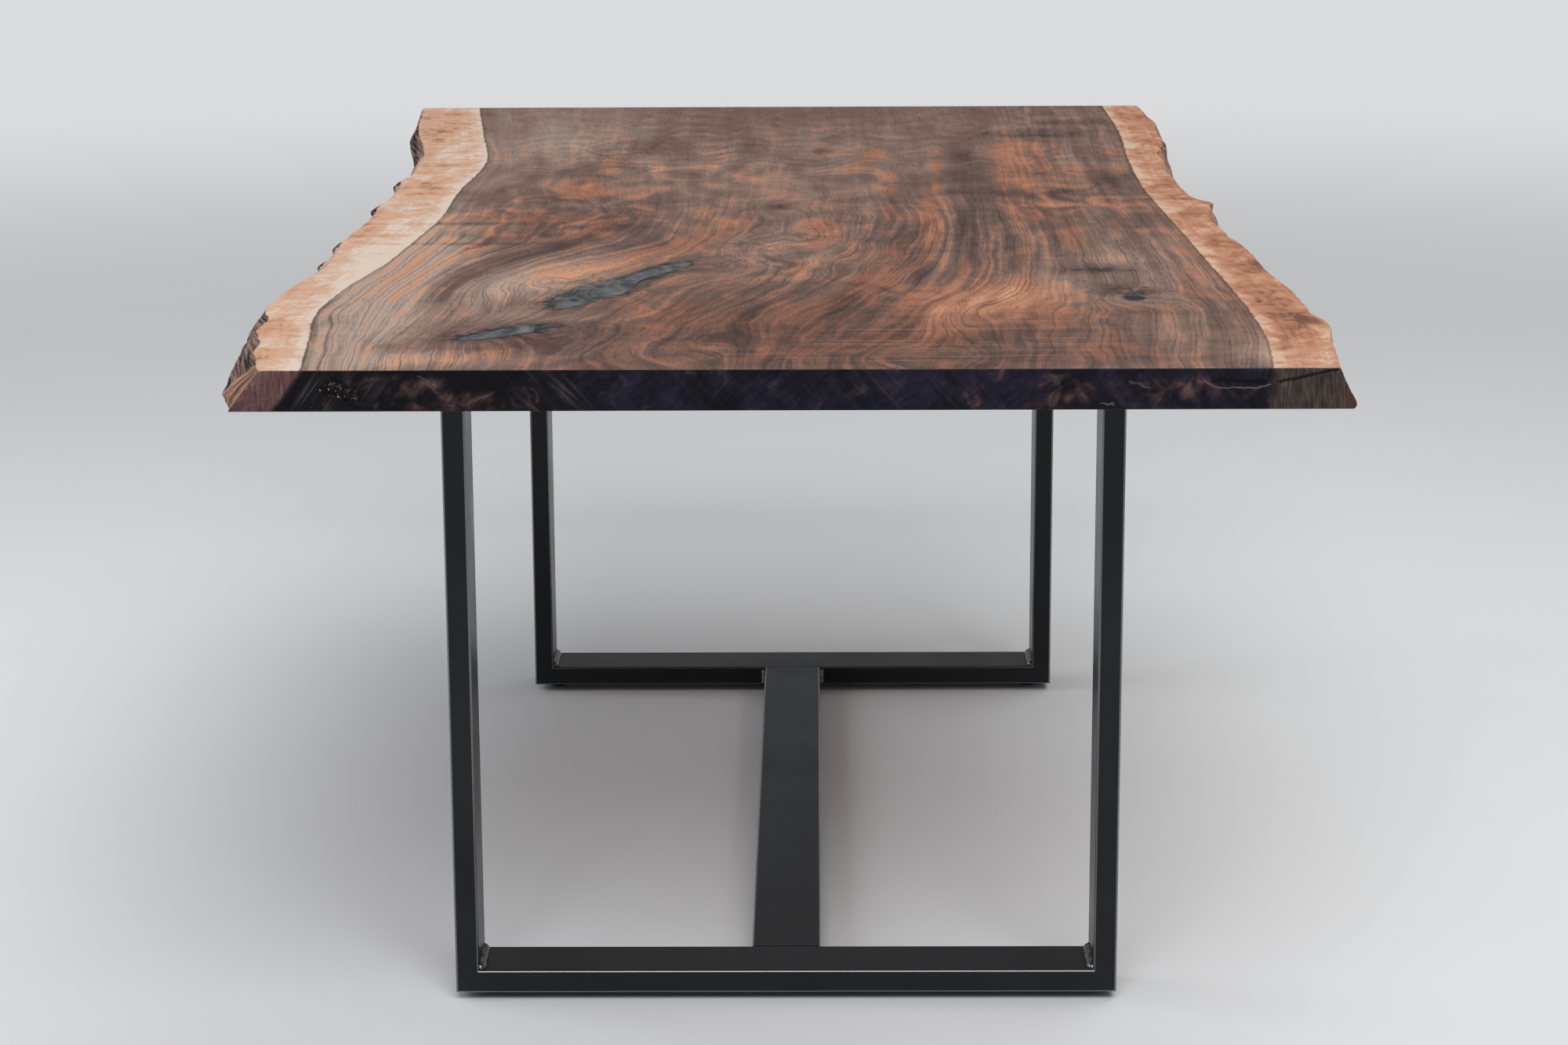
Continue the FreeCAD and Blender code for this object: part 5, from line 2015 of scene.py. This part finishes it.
@dataclass(frozen=True)
class SoftLight:
    """A large soft lamp, aimed at the table."""

    name: str
    place: tuple[float, float, float]
    width: float
    height: float
    power: float
    colour: tuple[float, float, float]

    def add(self, target: Vector) -> None:
        """Hang the lamp and aim it.

        Args:
            target: the place that it is aimed at.
        """
        lamp = bpy.data.lights.new(self.name, "AREA")
        lamp.shape = "RECTANGLE"
        lamp.size = self.width
        lamp.size_y = self.height
        lamp.energy = self.power
        lamp.color = self.colour
        holder = bpy.data.objects.new(self.name, lamp)
        holder.location = self.place
        holder.rotation_euler = (target - Vector(self.place)).to_track_quat("-Z", "Y").to_euler()
        bpy.context.scene.collection.objects.link(holder)


@dataclass(frozen=True)
class Studio:
    """The floor, the light and the camera.

    Attributes:
        camera_place: where the photograph was taken from, in metres.
        pitch: degrees that the camera looks down.
        yaw: degrees that it looks to the right.
        roll: degrees that it leans.
        lens: focal length, in millimetres.
        sensor: width of the sensor, in millimetres.
        floor_size: width of the floor.
        sky: the colour of the light from all round.
        sky_strength: how strong that light is.
        backdrop_top: sine of the angle above the horizon where the pale backdrop has faded out.
        lamps: the soft lamps.
        aim: the place that the lamps are aimed at.
    """

    camera_place: tuple[float, float, float] = (0.0361, -4.38905, 1.4766)
    pitch: float = 14.053
    yaw: float = -0.545
    roll: float = -0.276
    lens: float = 85.0
    sensor: float = 36.0
    floor_size: float = 60.0
    sky: Colour = tone(0.93, 0.96, 1.0)
    sky_strength: float = 0.27
    backdrop_top: float = 0.14
    lamps: tuple[SoftLight, ...] = (
        SoftLight("ceiling_softbox", (1.3, 0.7, 3.6), 3.2, 3.6, 56.0, (1.0, 0.985, 0.96)),
        SoftLight("left_window", (-3.6, 0.2, 2.2), 2.4, 2.2, 42.0, (0.94, 0.97, 1.0)),
        SoftLight("front_softbox", (0.4, -4.5, 4.9), 4.4, 3.2, 235.0, (0.97, 0.985, 1.0)),
    )
    aim: tuple[float, float, float] = (0.0, 0.0, 0.6)

    def set_up(self) -> None:
        """Lay the floor, hang the lamps, light the surroundings and place the camera."""
        self.lay_floor()
        for lamp in self.lamps:
            lamp.add(Vector(self.aim))
        self.light_surroundings()
        self.place_camera()
        bpy.context.scene.view_settings.view_transform = "Standard"

    def lay_floor(self) -> None:
        """Lay a plain pale floor under the feet."""
        start_fresh()
        bpy.ops.mesh.primitive_plane_add(size=self.floor_size)
        floor = bpy.context.object
        floor.name = "studio_floor"
        floor.data.materials.append(FloorFinish().make())

    def light_surroundings(self) -> None:
        """Light the table softly from all round, and show a pale backdrop by the horizon."""
        world = bpy.data.worlds.new("studio")
        world.use_nodes = True
        bpy.context.scene.world = world
        nodes, tree = world.node_tree.nodes, NodeTree(world.node_tree)
        sky = nodes["Background"]
        sky.inputs["Color"].default_value = self.sky
        sky.inputs["Strength"].default_value = self.sky_strength
        backdrop = tree.node("ShaderNodeBackground", FloorFinish.backdrop)
        upward = tree.split(tree.node("ShaderNodeTexCoord").outputs["Object"])[2]
        share = tree.times(tree.showing(), tree.rise(upward, self.backdrop_top, 0.0))
        shown = tree.either(share, sky.outputs[0], backdrop.outputs[0])
        tree.feed(nodes["World Output"].inputs["Surface"], shown)

    def place_camera(self) -> None:
        """Place the camera where the photograph was taken from."""
        pitch, yaw, roll = (math.radians(angle) for angle in (self.pitch, self.yaw, self.roll))
        ahead = Vector((math.sin(yaw) * math.cos(pitch), math.cos(yaw) * math.cos(pitch), -math.sin(pitch)))
        level = Vector((math.cos(yaw), -math.sin(yaw), 0.0))
        up = level.cross(ahead)
        right = level * math.cos(roll) + up * math.sin(roll)
        up = up * math.cos(roll) - level * math.sin(roll)
        camera = bpy.data.cameras.new("photo_camera")
        camera.lens = self.lens
        camera.sensor_width = self.sensor
        holder = bpy.data.objects.new("photo_camera", camera)
        turn = Matrix((right, up, -ahead)).transposed().to_4x4()
        holder.matrix_world = Matrix.Translation(self.camera_place) @ turn
        bpy.context.scene.collection.objects.link(holder)
        bpy.context.scene.camera = holder


def main() -> None:
    """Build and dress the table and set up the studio."""
    logging.basicConfig(level=logging.INFO, format="%(name)s: %(message)s")
    fills = [
        VoidFill("long_void_fill", LONG_VOID, Plane.TOP),
        VoidFill("short_void_fill", SHORT_VOID, Plane.TOP, lengthwise=50, crosswise=10),
        VoidFill("end_void_fill", END_VOID, Plane.FRONT, lengthwise=30, crosswise=14, raggedness=2.4 * MM),
    ]
    WalnutSlab().build(fills, WalnutFinish().make(), EndGrainFinish().make())
    resin = ResinFinish().make()
    knot_resin = KNOT_RESIN.make()
    for fill in fills:
        fill.build(resin if fill.plane is Plane.TOP else knot_resin)
    zinc, coat = ZincFinish().make(), PowderCoatFinish().make()
    base = SteelBase()
    base.dress(coat)
    base.weld(coat)
    SlabFixings().dress(zinc)
    LevellingFeet().dress(NylonFinish().make(), zinc)
    Studio().set_up()


if __name__ == "__main__":
    main()
